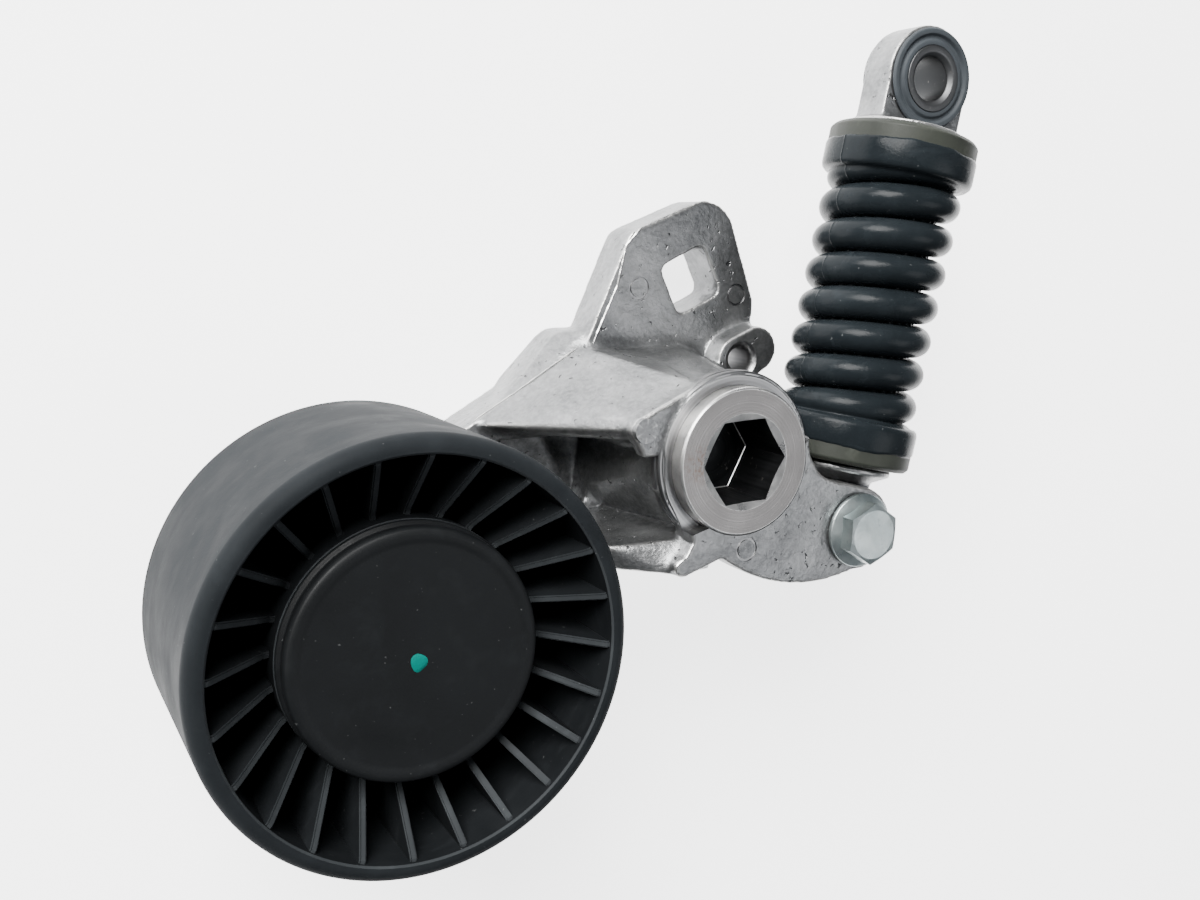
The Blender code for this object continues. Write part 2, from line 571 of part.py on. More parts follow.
def make_boot(rubber, axis):
    """Rubber boot: spiral folds that follow the spring, with a cuff round each seat."""
    segments = 16
    first, last = LOWER_SEAT_S + CUFF_LAP, UPPER_SEAT_S - 2.6
    low_top, high_low = LOWER_SEAT_S + CUFF_H, UPPER_SEAT_S - CUFF_H
    seat_clear = SEAT_R + 2 * GAP
    plain_low = [(CUFF_R, first), (CUFF_R, low_top - 0.8), (CUFF_R - 1.0, low_top)]
    plain_high = [(CUFF_R - 1.0, high_low), (CUFF_R, high_low + 0.8), (CUFF_R, last)]
    inner_high = [(seat_clear, last), (seat_clear, UPPER_SEAT_S - SEAT_H - GAP)]
    inner_low = [(seat_clear, LOWER_SEAT_S + SEAT_H + GAP), (seat_clear, first)]
    rows = 30
    fold_low, fold_high = low_top + 0.3, high_low - 0.3
    bm = bmesh.new()
    rings = []

    def ring(radius_at, s):
        verts = []
        for i in range(segments):
            a = 2 * math.pi * i / segments
            r = radius_at(a, s)
            verts.append(bm.verts.new((r * math.cos(a), r * math.sin(a), s)))
        rings.append(verts)

    for r, s in plain_low:
        ring(lambda a, _, r=r: r, s)
    for i in range(rows + 1):
        s = fold_low + (fold_high - fold_low) * i / rows
        ring(lambda a, t: fold_radius(a, t, BOOT_ROOT_R, BOOT_R), s)
    for r, s in plain_high + inner_high:
        ring(lambda a, _, r=r: r, s)
    for i in range(rows, -1, -1):
        s = fold_low + (fold_high - fold_low) * i / rows
        ring(lambda a, t: fold_radius(a, t, BOOT_ROOT_R, BOOT_R) - BOOT_WALL, s)
    for r, s in inner_low:
        ring(lambda a, _, r=r: r, s)
    for low, high in zip(rings, rings[1:] + rings[:1]):
        for i in range(segments):
            j = (i + 1) % segments
            bm.faces.new((low[i], low[j], high[j], high[i]))
    place(finish_mesh("rubber_boot", bm), rubber, axis, True)


def make_spring(steel, axis):
    """Round wire wound in step with the boot's folds, closed up against both seats."""
    steps_per_turn, sides = 14, 6
    low = LOWER_SEAT_S + SEAT_T + SPRING_WIRE_R + GAP
    high = UPPER_SEAT_S - SEAT_T - SPRING_WIRE_R - GAP
    turns = (high - low) / FOLD_PITCH
    total = round(turns * steps_per_turn)
    start = 2 * math.pi * (low - FOLD_START_S) / FOLD_PITCH
    rise = FOLD_PITCH / (2 * math.pi)
    bm = bmesh.new()
    rings = []
    for i in range(total + 1):
        a = start + 2 * math.pi * turns * i / total
        s = low + (high - low) * i / total
        out = Vector((math.cos(a), math.sin(a), 0.0))
        ahead = Vector((-SPRING_R * math.sin(a), SPRING_R * math.cos(a), rise)).normalized()
        side = ahead.cross(out)
        ring = []
        for k in range(sides):
            b = 2 * math.pi * k / sides
            offset = (out * math.cos(b) + side * math.sin(b)) * SPRING_WIRE_R
            ring.append(bm.verts.new(out * SPRING_R + Vector((0, 0, s)) + offset))
        rings.append(ring)
    bm.faces.new(rings[0])
    bm.faces.new(rings[-1])
    for one, two in zip(rings, rings[1:]):
        for k in range(sides):
            j = (k + 1) % sides
            bm.faces.new((one[k], one[j], two[j], two[k]))
    place(finish_mesh("coil_spring", bm), steel, axis, True)


def make_strut_bolt(zinc, axis):
    """Flange bolt down through the lever plate and the lower eye, with a flange nut behind."""
    seat = PLATE_FRONT_Z - STRUT_Z + GAP
    rear = -SLEEVE_HALF_W - GAP
    corner_r = BOLT_FLATS / math.sqrt(3)
    bolt = lathe("flange_bolt", [
        (0, rear - 9.0), (BOLT_R - 0.6, rear - 9.0), (BOLT_R, rear - 8.4), (BOLT_R, seat),
        (BOLT_FLANGE_R, seat), (BOLT_FLANGE_R, seat + 1.1), (6.9, seat + 2.4), (0, seat + 2.4)], 28)
    head = prism("head", polygon(corner_r, 6, BOLT_TURN), seat + 1.6, seat + 7.6)
    place(join(bolt, head), zinc, axis)
    nut = prism("strut_nut", polygon(corner_r, 6, NUT_TURN), rear - 8.0, rear - 1.0)
    join(nut, disc("rim", BOLT_FLANGE_R - 0.2, rear - 2.2, rear, 28))
    cut(nut, disc("hole", BOLT_R + GAP, rear - 20, rear + 5, 24))
    place(nut, zinc, axis)


def make_strut(alloy, steel, rubber, olive, bronze, zinc, gloss_rubber, spring_steel, lower, eye):
    make_lower_strut(alloy, steel, rubber, olive, bronze, lower)
    make_upper_strut(alloy, steel, rubber, olive, lower, eye)
    make_boot(gloss_rubber, lower)
    make_spring(spring_steel, lower)
    make_strut_bolt(zinc, lower)


# ---- build ------------------------------------------------------------------------------
def main():
    clear_scene()
    alloy = material("cast_alloy", (0.62, 0.63, 0.64), 0.42, 0.85)
    steel = material("ground_steel", (0.60, 0.58, 0.57), 0.28, 1.0)
    spring_steel = material("spring_steel", (0.10, 0.11, 0.13), 0.45, 0.9)
    zinc = material("zinc_plate", (0.70, 0.74, 0.78), 0.25, 1.0)
    bronze = material("bush_bronze", (0.55, 0.38, 0.20), 0.40, 0.9)
    plastic = material("pulley_plastic", (0.035, 0.037, 0.040), 0.55, 0.0)
    cap = material("cap_plastic", (0.020, 0.021, 0.023), 0.50, 0.0)
    cage_mat = material("cage_polymer", (0.30, 0.22, 0.12), 0.50, 0.0)
    rubber = material("matt_rubber", (0.022, 0.023, 0.024), 0.60, 0.0)
    gloss_rubber = material("bellows_rubber", (0.012, 0.013, 0.015), 0.25, 0.0)
    olive = material("seat_plate", (0.16, 0.15, 0.10), 0.50, 0.6)

    pivot = empty("pivot_axis", (0, 0, 0))
    pulley = empty("pulley_axis", (PULLEY_X, PULLEY_Y, 0))
    lower = empty("strut_axis", (BOLT_X, BOLT_Y, STRUT_Z), -STRUT_LEAN)
    upper = empty("eye_axis", (0, STRUT_L, 0), 0.0, lower)
    make_pivot(steel, bronze, rubber, pivot)
    make_arm(alloy, pivot)
    make_pulley(plastic, steel, cap, cage_mat, rubber, zinc, pulley)
    make_strut(alloy, steel, rubber, olive, bronze, zinc, gloss_rubber, spring_steel, lower,
               upper)


main()
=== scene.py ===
"""Looks of the belt tensioner idler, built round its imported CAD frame.

Pieces are modelled in millimetres in the CAD's own frame and scaled to metres when their mesh
is made. Strut pieces are drawn in the strut's frame: X across, Y along it, Z the bolt's axis.
"""
import bpy
import bmesh
import numpy as np
from math import cos, pi, radians, sin, sqrt
from mathutils import Matrix, Vector, noise
from mathutils.bvhtree import BVHTree


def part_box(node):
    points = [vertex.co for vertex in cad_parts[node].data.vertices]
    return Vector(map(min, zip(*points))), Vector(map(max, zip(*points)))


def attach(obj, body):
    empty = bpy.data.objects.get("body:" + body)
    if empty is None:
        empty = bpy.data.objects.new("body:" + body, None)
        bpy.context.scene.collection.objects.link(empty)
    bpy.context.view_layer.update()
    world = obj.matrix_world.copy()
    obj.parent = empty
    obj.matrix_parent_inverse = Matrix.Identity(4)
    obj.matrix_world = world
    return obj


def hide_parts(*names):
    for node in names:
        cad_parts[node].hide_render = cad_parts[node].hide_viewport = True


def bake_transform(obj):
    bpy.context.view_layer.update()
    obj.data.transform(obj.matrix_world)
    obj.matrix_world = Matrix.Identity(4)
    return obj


MM = 0.001
TAU = 2 * pi
CLEAR = 0.3                   # the CAD's gap between touching pieces
EDGE_ROUNDS = 3               # how many neighbours away a casting's edge is felt
FULL_BULGE = 0.16             # a bulge that counts as a full edge
ARM_VOXEL, EYE_VOXEL = ((0.5, 0.4))

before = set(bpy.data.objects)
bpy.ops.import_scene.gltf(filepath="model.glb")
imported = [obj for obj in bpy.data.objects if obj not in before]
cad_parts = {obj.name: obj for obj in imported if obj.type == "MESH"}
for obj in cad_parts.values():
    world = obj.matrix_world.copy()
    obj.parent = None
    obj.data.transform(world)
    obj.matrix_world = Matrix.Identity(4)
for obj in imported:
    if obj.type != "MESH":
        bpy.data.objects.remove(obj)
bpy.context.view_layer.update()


# ---- what the frame says
def box_mm(node):
    low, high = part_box(node)
    return np.array(low) / MM, np.array(high) / MM


def middle(node):
    low, high = box_mm(node)
    return (low + high) / 2


def metres(spot):
    return tuple(c * MM for c in spot)


def reach(node, spot=(0, 0, 0), axis=(0, 0, 1)):
    """Least and greatest radius of a CAD node about an axis, and its span along that axis."""
    axis = np.array(axis, float)
    points = np.array([v.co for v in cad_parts[node].data.vertices]) / MM - np.array(spot)
    along = points @ axis
    radius = np.linalg.norm(points - np.outer(along, axis), axis=1)
    return radius.min(), radius.max(), along.min(), along.max()


PULLEY = middle("pulley")
LOWER_EYE = middle("lower_sleeve")
UPPER_EYE = middle("upper_rubber_bush")
STRUT_L = float(np.linalg.norm(UPPER_EYE - LOWER_EYE))
STRUT_DIR = (UPPER_EYE - LOWER_EYE) / STRUT_L
PIN_FACE_Z = box_mm("pivot_pin")[1][2]
PULLEY_LOW, PULLEY_HIGH = box_mm("pulley")
PULLEY_R = (PULLEY_HIGH[0] - PULLEY_LOW[0]) / 2
ARM_REAR_Z = box_mm("tensioner_arm")[0][2]
PLATE_FRONT_Z = box_mm("tensioner_arm")[1][2]
CAP_FRONT_Z = box_mm("dust_cap")[1][2]
SEAT_LOW_S = reach("lower_spring_seat", LOWER_EYE, STRUT_DIR)[2]
SEAT_HIGH_S = reach("upper_spring_seat", LOWER_EYE, STRUT_DIR)[3]

across = Vector((STRUT_DIR[1], -STRUT_DIR[0], 0))
STRUT_SPOT = Matrix.Translation(Vector(LOWER_EYE)) @ Matrix((
    (across.x, STRUT_DIR[0], 0, 0), (across.y, STRUT_DIR[1], 0, 0), (0, 0, 1, 0), (0, 0, 0, 1)))
ALONG_STRUT = STRUT_SPOT @ Matrix.Rotation(-pi / 2, 4, "X")
UPPER_SPOT = STRUT_SPOT @ Matrix.Translation((0, STRUT_L, 0))
PULLEY_SPOT = Matrix.Translation((*PULLEY[:2], 0))


# ---- shapes, as bmeshes in millimetres
def arc(cx, cy, radius, start_deg, end_deg, steps):
    turns = [radians(start_deg + (end_deg - start_deg) * i / steps) for i in range(steps + 1)]
    return [(cx + radius * cos(a), cy + radius * sin(a)) for a in turns]


def rounded(outline, radius, steps=3, closed=True):
    """Outline with each corner eased by a curve that starts `radius` before it.

    Points on the axis, at x = 0, stay as they are.
    """
    eased = []
    count = len(outline)
    for i, point in enumerate(outline):
        p = Vector(point)
        if not closed and i in (0, count - 1) or p.x < 1e-6:
            eased.append(tuple(p))
            continue
        back, ahead = Vector(outline[i - 1]) - p, Vector(outline[(i + 1) % count]) - p
        a = p + back.normalized() * min(radius, back.length * 0.45)
        b = p + ahead.normalized() * min(radius, ahead.length * 0.45)
        for k in range(steps + 1):
            t = k / steps
            eased.append(tuple(a * (1 - t) ** 2 + p * 2 * t * (1 - t) + b * t ** 2))
    return eased


def outward(bm):
    bmesh.ops.recalc_face_normals(bm, faces=bm.faces)
    if bm.calc_volume(signed=True) < 0:
        bmesh.ops.reverse_faces(bm, faces=bm.faces)
    return bm


def lathe(profile, segments=128, ease=0.0, steps=3):
    """Solid turned about Z from a closed (radius, z) outline, with its corners eased if asked."""
    if ease:
        profile = rounded(profile, ease, steps)
    bm = bmesh.new()
    rings = []
    for radius, z in profile:
        count = 1 if radius < 1e-6 else segments
        rings.append([bm.verts.new((radius * cos(TAU * i / segments),
                radius * sin(TAU * i / segments), z)) for i in range(count)])
    for low, high in zip(rings, rings[1:] + rings[:1]):
        for i in range(segments if len(low) + len(high) > 2 else 0):
            j = (i + 1) % segments
            corners = [low[i % len(low)], low[j % len(low)], high[j % len(high)],
                    high[i % len(high)]]
            bm.faces.new(list(dict.fromkeys(corners)))
    return outward(bm)


def ring(r_in, r_out, z0, z1, segments=128, ease=0.35):
    return lathe([(r_in, z0), (r_out, z0), (r_out, z1), (r_in, z1)], segments, ease)


def disc(radius, z0, z1, segments=96, top=None):
    """Solid cylinder, or a cone frustum when `top` gives another radius at z1."""
    return lathe([(0, z0), (radius, z0), (top or radius, z1), (0, z1)], segments)


def band(bm, low, high):
    """Quads between two closed loops with the same number of points."""
    for i in range(len(low)):
        j = (i + 1) % len(low)
        bm.faces.new((low[i], low[j], high[j], high[i]))


def prism(outline, z0, z1):
    bm = bmesh.new()
    low = [bm.verts.new((x, y, z0)) for x, y in outline]
    high = [bm.verts.new((x, y, z1)) for x, y in outline]
    bm.faces.new(low)
    bm.faces.new(high)
    band(bm, low, high)
    return outward(bm)


def hull(points):
    bm = bmesh.new()
    for p in points:
        bm.verts.new(p)
    result = bmesh.ops.convex_hull(bm, input=bm.verts)
    spare = [g for g in result["geom_interior"] if isinstance(g, bmesh.types.BMVert)]
    bmesh.ops.delete(bm, geom=spare, context="VERTS")
    return outward(bm)


def slab(circles, z0, z1, steps=64):
    """Convex plate wrapped round circles given as (x, y, radius)."""
    return hull([(px, py, z) for x, y, r in circles for px, py in arc(x, y, r, 0, 360, steps)[:-1]
            for z in (z0, z1)])


def hexagon(flats, turn):
    """Corners of a hexagon given its width across flats."""
    return arc(0, 0, flats / sqrt(3), turn, turn + 360, 6)[:-1]


def rounded_square(cx, cy, side, radius, turn):
    shift = Vector((1000, 0))       # keeps every corner clear of x = 0, which stays sharp
    corners = [Vector((x, y)) * side / 2 + shift for x, y in ((-1, -1), (1, -1), (1, 1), (-1, 1))]
    eased = [Vector(p) - shift for p in rounded(corners, radius, 6)]
    c, s = cos(turn), sin(turn)
    return [(cx + p.x * c - p.y * s, cy + p.x * s + p.y * c) for p in eased]


def at(spot):
    """Shift to a point of the plan, along X and Y only."""
    return Matrix.Translation((spot[0], spot[1], 0))


def moved(bm, matrix):
    bmesh.ops.transform(bm, matrix=matrix, verts=bm.verts)
    return bm


def sweep(path, radius_at, sides):
    """Tube along points; radius_at gives each point's radius."""
    bm = bmesh.new()
    rings = []
    count = len(path)
    side = None
    for i, p in enumerate(path):
        ahead = (path[min(i + 1, count - 1)] - path[max(i - 1, 0)]).normalized()
        side = side or ahead.orthogonal()
        side = (side - ahead * side.dot(ahead)).normalized()
        up = ahead.cross(side)
        r = radius_at(i)
        rings.append([bm.verts.new(p + (side * cos(TAU * k / sides)
                + up * sin(TAU * k / sides)) * r) for k in range(sides)])
    bm.faces.new(rings[0])
    bm.faces.new(rings[-1])
    for one, two in zip(rings, rings[1:]):
        band(bm, one, two)
    return outward(bm)


# ---- objects
def in_scene(name, data):
    ob = bpy.data.objects.new(name, data)
    bpy.context.scene.collection.objects.link(ob)
    return ob


def to_object(name, bm, materials=()):
    mesh = bpy.data.meshes.new(name)
    bm.to_mesh(mesh)
    bm.free()
    for mat in materials:
        mesh.materials.append(mat)
    return in_scene(name, mesh)


def to_bmesh(ob):
    """An object's mesh as a bmesh; the object goes."""
    bm = bmesh.new()
    bm.from_mesh(ob.data)
    bpy.data.objects.remove(ob, do_unlink=True)
    return bm


def coat(ob, material):
    ob.data.materials.clear()
    ob.data.materials.append(material)


def apply_modifiers(ob):
    graph = bpy.context.evaluated_depsgraph_get()
    graph.update()
    mesh = bpy.data.meshes.new_from_object(ob.evaluated_get(graph))
    ob.modifiers.clear()
    ob.data = mesh


def combine(base, tool_bm, operation, material):
    tool = to_object("tool", tool_bm, [material] if material else ())
    mod = base.modifiers.new("combine", "BOOLEAN")
    mod.operation = operation
    mod.solver = "EXACT"
    mod.material_mode = "TRANSFER"
    mod.object = tool
    apply_modifiers(base)
    bpy.data.objects.remove(tool, do_unlink=True)


def join(base, tool_bm, material=None):
    combine(base, tool_bm, "UNION", material)


def cut(base, tool_bm, material=None):
    combine(base, tool_bm, "DIFFERENCE", material)


def merged(*bms):
    """Several bmeshes as one, their parts still apart."""
    whole = bmesh.new()
    for bm in bms:
        mesh = bpy.data.meshes.new("part")
        bm.to_mesh(mesh)
        bm.free()
        whole.from_mesh(mesh)
        bpy.data.meshes.remove(mesh)
    return whole


def show(ob, body, stands_for=(), slot=None, sharp_deg=38.0, blend=None):
    """Shade a piece, scale it to metres and hang it on its CAD body; a piece given blend is baked
    in place instead and hangs on no body.
    """
    mesh = ob.data
    mesh.transform(Matrix.Scale(MM, 4))
    mesh.shade_smooth()
    mesh.set_sharp_from_angle(angle=radians(sharp_deg))
    if blend:
        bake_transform(ob)
    else:
        weigh = ob.modifiers.new("weigh", "WEIGHTED_NORMAL")
        weigh.keep_sharp = True
        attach(ob, body)
    if stands_for:
        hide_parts(*stands_for)


def piece(name, bm, material, body, stands_for=(), slot=None, spot=None, **more):
    if spot is not None:
        moved(bm, spot)
    show(to_object(name, bm, [material]), body, stands_for, slot, **more)


def skin_points(mesh):
    """A mesh's points, and a function that swaps values at points for their neighbours' mean."""
    count = len(mesh.vertices)
    ends = np.empty(len(mesh.edges) * 2, np.int32)
    mesh.edges.foreach_get("vertices", ends)
    a, b = ends[::2], ends[1::2]
    degree = np.maximum(np.bincount(a, minlength=count) + np.bincount(b, minlength=count), 1)
    co = np.empty(count * 3, np.float32)
    mesh.vertices.foreach_get("co", co)

    def neighbour_mean(values):
        total = [np.bincount(a, values[b, k], count) + np.bincount(b, values[a, k], count)
                for k in range(3)]
        return np.stack(total, 1) / degree[:, None]
    return co.reshape(-1, 3).astype(float), neighbour_mean


def skin_normals(mesh):
    normals = np.empty(len(mesh.vertices) * 3, np.float32)
    mesh.vertex_normals.foreach_get("vector", normals)
    return normals.reshape(-1, 3)


def set_points(mesh, co):
    mesh.vertices.foreach_set("co", co.astype(np.float32).ravel())
    mesh.update()


def relax(mesh, rounds, outward_only=False, strength=0.5):
    """Even out a skin. Outward only, it fills inner corners and leaves the outer edges alone."""
    co, neighbour_mean = skin_points(mesh)
    for _ in range(rounds):
        pull = neighbour_mean(co) - co
        if outward_only:
            set_points(mesh, co)
            n = skin_normals(mesh)
            pull = n * np.clip((pull * n).sum(1), 0, None)[:, None]
        co += pull * strength
    set_points(mesh, co)


def mark_edges(mesh):
    """Store how far each point bulges (edge) or sinks (hollow) against its surroundings."""
    co, neighbour_mean = skin_points(mesh)
    soft = co
    for _ in range(EDGE_ROUNDS):
        soft = neighbour_mean(soft)
    bulge = ((co - soft) * skin_normals(mesh)).sum(1)
    for name, value in (("edge", bulge), ("hollow", -bulge)):
        attribute = mesh.attributes.new(name, "FLOAT", "POINT")
        scaled = np.clip(value / FULL_BULGE, 0, 1).astype(np.float32)
        attribute.data.foreach_set("value", scaled)


def cast(solid, voxel, fill_rounds, soft_rounds):
    """Turn a sharp solid into a casting: filled inner corners, eased edges, fine even skin."""
    remesh = solid.modifiers.new("skin", "REMESH")
    remesh.mode = "VOXEL"
    remesh.voxel_size = voxel
    apply_modifiers(solid)
    relax(solid.data, fill_rounds, outward_only=True, strength=0.9)
    relax(solid.data, soft_rounds)
    mark_edges(solid.data)
    coat(solid, ALLOY)


# ---- finishes
class Finish:
    """A Principled material whose colour, roughness and bump come from procedural nodes."""

    def __init__(self, name, metallic=0.0, **fixed):
        self.mat = bpy.data.materials.new(name)
        self.mat.use_nodes = True
        self.tree = self.mat.node_tree
        self.shader = self.tree.nodes["Principled BSDF"]
        self.shader.inputs["Metallic"].default_value = metallic
        for key, value in fixed.items():
            self.shader.inputs[key.replace("_", " ")].default_value = value
        self.place = self.node("ShaderNodeTexCoord").outputs["Object"]

    def node(self, kind, settings=None, **inputs):
        made = self.tree.nodes.new(kind)
        for key, value in (settings or {}).items():
            setattr(made, key, value)
        for key, value in inputs.items():
            self.feed(made.inputs[int(key[1]) if key in ("i0", "i1") else key], value)
        return made

    def feed(self, socket, value):
        """Link another node's output to a socket, or set the socket's own value."""
        if isinstance(value, bpy.types.NodeSocket):
            self.tree.links.new(value, socket)
        else:
            socket.default_value = value

    def noise(self, scale, detail=4.0, rough=0.55, twist=0.0, place=None):
        made = self.node("ShaderNodeTexNoise", Vector=place or self.place, Scale=scale,
                Detail=detail, Roughness=rough, Distortion=twist)
        return made.outputs["Fac"]

    def noise_along(self, value, scale, detail=3.0):
        """Noise that varies with one number only, such as the distance from an axis."""
        made = self.node("ShaderNodeTexNoise", {"noise_dimensions": "1D"}, W=value, Scale=scale,
                Detail=detail)
        return made.outputs["Fac"]

    def ramp(self, value, *stops):
        made = self.node("ShaderNodeValToRGB", Fac=value)
        elements = made.color_ramp.elements
        while len(elements) < len(stops):
            elements.new(0.5)
        for element, (at, colour) in zip(elements, stops):
            element.position = at
            shade = colour if isinstance(colour, tuple) else (colour,) * 3
            element.color = (*shade, 1)
        return made.outputs["Color"]

    def mix(self, factor, a, b, mode="MIX"):
        made = self.node("ShaderNodeMix", {"data_type": "RGBA", "blend_type": mode})
        for index, value in ((0, factor), (6, a), (7, b)):
            self.feed(made.inputs[index], (*value, 1) if isinstance(value, tuple) else value)
        return made.outputs[2]

    def maths(self, operation, a, b):
        return self.node("ShaderNodeMath", {"operation": operation}, i0=a, i1=b).outputs[0]

    def vectors(self, operation, a, b=(0, 0, 0), output=0):
        made = self.node("ShaderNodeVectorMath", {"operation": operation}, i0=a, i1=b)
        return made.outputs[output]

    def span(self, value, low, high, to_low=0.0, to_high=1.0):
        ends = {"From Min": low, "From Max": high, "To Min": to_low, "To Max": to_high}
        return self.node("ShaderNodeMapRange", Value=value, **ends).outputs[0]

    def attribute(self, name):
        return self.node("ShaderNodeAttribute", {"attribute_name": name}).outputs["Fac"]

    def from_axis(self, spot):
        """Distance from a line parallel to Z through a point given in millimetres."""
        flat = self.vectors("MULTIPLY", self.vectors("SUBTRACT", self.place, metres(spot)),
                (1, 1, 0))
        return self.vectors("LENGTH", flat, output="Value")

    def done(self, colour, roughness, height, depth_mm):
        bump = self.node("ShaderNodeBump", Height=height, Strength=1.0, Distance=depth_mm * MM)
        for key, socket in (("Base Color", colour), ("Roughness", roughness),
                ("Normal", bump.outputs[0])):
            self.tree.links.new(socket, self.shader.inputs[key])
        return self.mat


def cast_alloy():
    f = Finish("cast_alloy", metallic=0.92)
    blotch = f.noise(42, 7, 0.64, 0.6)
    cloud = f.noise(120, 5, 0.62, 0.3)
    grain = f.noise(850, 4, 0.6)
    speck = f.noise(560, 2, 0.5, 0.6)
    colour = f.ramp(blotch, (0.3, (0.095, 0.098, 0.101)), (0.48, (0.165, 0.168, 0.171)),
            (0.7, (0.265, 0.267, 0.269)))
    colour = f.mix(0.45, colour, f.ramp(cloud, (0.3, 0.22), (0.7, 0.68)), "SOFT_LIGHT")
    colour = f.mix(f.span(grain, 0.4, 0.75, 0.0, 0.3), colour, (0.4, 0.405, 0.41))
    colour = f.mix(f.span(f.attribute("hollow"), 0.1, 0.9, 0.0, 0.7), colour, (0.05, 0.052, 0.055))
    # Painted highlight: points that bulge out (the edge attribute) are mixed towards a pale grey.
    colour = f.mix(f.span(f.attribute("edge"), 0.2, 0.85, 0.0, 0.7), colour, (0.5, 0.495, 0.485))
    colour = f.mix(f.span(speck, 0.67, 0.73, 0.0, 0.85), colour, (0.05, 0.05, 0.053))
    roughness = f.span(f.noise(85, 5, 0.6), 0.25, 0.75, 0.3, 0.46)
    height = f.maths("ADD", f.maths("MULTIPLY", grain, 0.4), f.maths("MULTIPLY", cloud, 1.5))
    height = f.maths("SUBTRACT", height, f.span(speck, 0.67, 0.76, 0.0, 0.9))
    return f.done(colour, roughness, height, 0.26)


def turned(name, spot, pale, dark, roughness, tint=None):
    """Metal turned on a lathe: fine rings about the given axis."""
    f = Finish(name, metallic=1.0)
    radius = f.from_axis(spot)
    rings = f.noise_along(radius, 5200, 3)
    broad = f.noise_along(radius, 700, 2)
    cloud = f.noise(90, 4, 0.6)
    colour = f.mix(f.span(broad, 0.3, 0.7), dark, pale)
    colour = f.mix(f.span(cloud, 0.35, 0.7, 0.0, 0.4), colour, tuple(c * 0.8 for c in pale))
    colour = f.mix(f.span(f.noise(700, 3), 0.66, 0.74, 0.0, 0.5), colour, (0.2, 0.19, 0.18))
    if tint:
        where, size, stain = tint
        near = f.vectors("DISTANCE", f.place, metres(where), output="Value")
        patch = f.maths("MULTIPLY", f.span(near, size * MM, 0.0),
                f.span(f.noise(1300, 3, 0.6), 0.46, 0.62))
        colour = f.mix(patch, colour, stain)
    rough = f.span(f.maths("ADD", rings, cloud), 0.7, 1.3, roughness - 0.06, roughness + 0.08)
    height = f.maths("ADD", rings, f.maths("MULTIPLY", broad, 0.8))
    return f.done(colour, rough, height, 0.02)


def plated(name, pale, dark, roughness):
    """Zinc or phosphate plate: milky clouds, fine grain and small rubs."""
    f = Finish(name, metallic=0.95)
    cloud = f.noise(160, 5, 0.6, 0.4)
    grain = f.noise(2200, 3)
    colour = f.mix(f.span(cloud, 0.32, 0.68), dark, pale)
    colour = f.mix(f.span(f.noise(520, 3, 0.6), 0.62, 0.72, 0.0, 0.45), colour,
            tuple(c * 0.6 for c in dark))
    rough = f.span(f.noise(240, 4), 0.3, 0.7, roughness - 0.06, roughness + 0.12)
    height = f.maths("ADD", grain, f.maths("MULTIPLY", cloud, 0.8))
    return f.done(colour, rough, height, 0.03)


def moulded(name, pale, dark, roughness, dust, depth_mm=0.05, streaks=(160, 160, 420), gloss=0.5):
    """Moulded plastic or rubber: slow sheen changes, fine skin, rubs and settled dust."""
    f = Finish(name, Specular_IOR_Level=gloss)
    cloud = f.noise(70, 5, 0.6, 0.3)
    skin = f.noise(1500, 3, 0.6)
    rub = f.noise(1.0, 4, 0.6, 0.3, f.vectors("MULTIPLY", f.place, streaks))
    colour = f.mix(f.span(cloud, 0.3, 0.7), dark, pale)
    colour = f.mix(f.span(rub, 0.56, 0.76, 0.0, 0.35), colour, tuple(c * 1.8 for c in pale))
    colour = f.mix(f.span(f.noise(900, 2, 0.5), 0.735, 0.77, 0.0, dust), colour,
            (0.32, 0.33, 0.33))
    rough = f.span(f.maths("ADD", cloud, rub), 0.7, 1.3, roughness - 0.09, roughness + 0.11)
    height = f.maths("ADD", f.maths("MULTIPLY", skin, 0.5), cloud)
    return f.done(colour, rough, height, depth_mm)


def paper_floor():
    f = Finish("table_top", Emission_Strength=3.1)
    cloud = f.noise(9, 3)
    colour = f.mix(f.span(cloud, 0.3, 0.7), (0.86, 0.86, 0.865), (0.89, 0.89, 0.893))
    return f.done(colour, f.span(cloud, 0.3, 0.7, 0.55, 0.65), f.noise(600, 3), 0.02)


PIVOT_AXIS = (0, 0, 0)
ALLOY = cast_alloy()
# Pale plate for casting flash and the socket's burr; on the pin's countersink and head side it is a
# painted highlight.
FLASH_AND_HIGHLIGHT = plated("flash_alloy_and_highlight", (0.7, 0.69, 0.67), (0.4, 0.4, 0.4), 0.3)
MACHINED = turned("machined_alloy", PIVOT_AXIS, (0.3, 0.3, 0.302), (0.17, 0.17, 0.175), 0.34)
STEEL = turned("ground_steel", PIVOT_AXIS, (0.17, 0.163, 0.16), (0.13, 0.125, 0.122), 0.28,
        tint=((-11.8, 0.5, PIN_FACE_Z), 5.5, (0.1, 0.06, 0.04)))
# Near-black steel: painted shade inside the hexagon socket.
SOCKET = turned("socket_steel", PIVOT_AXIS, (0.035, 0.036, 0.038), (0.015, 0.016, 0.017), 0.5)
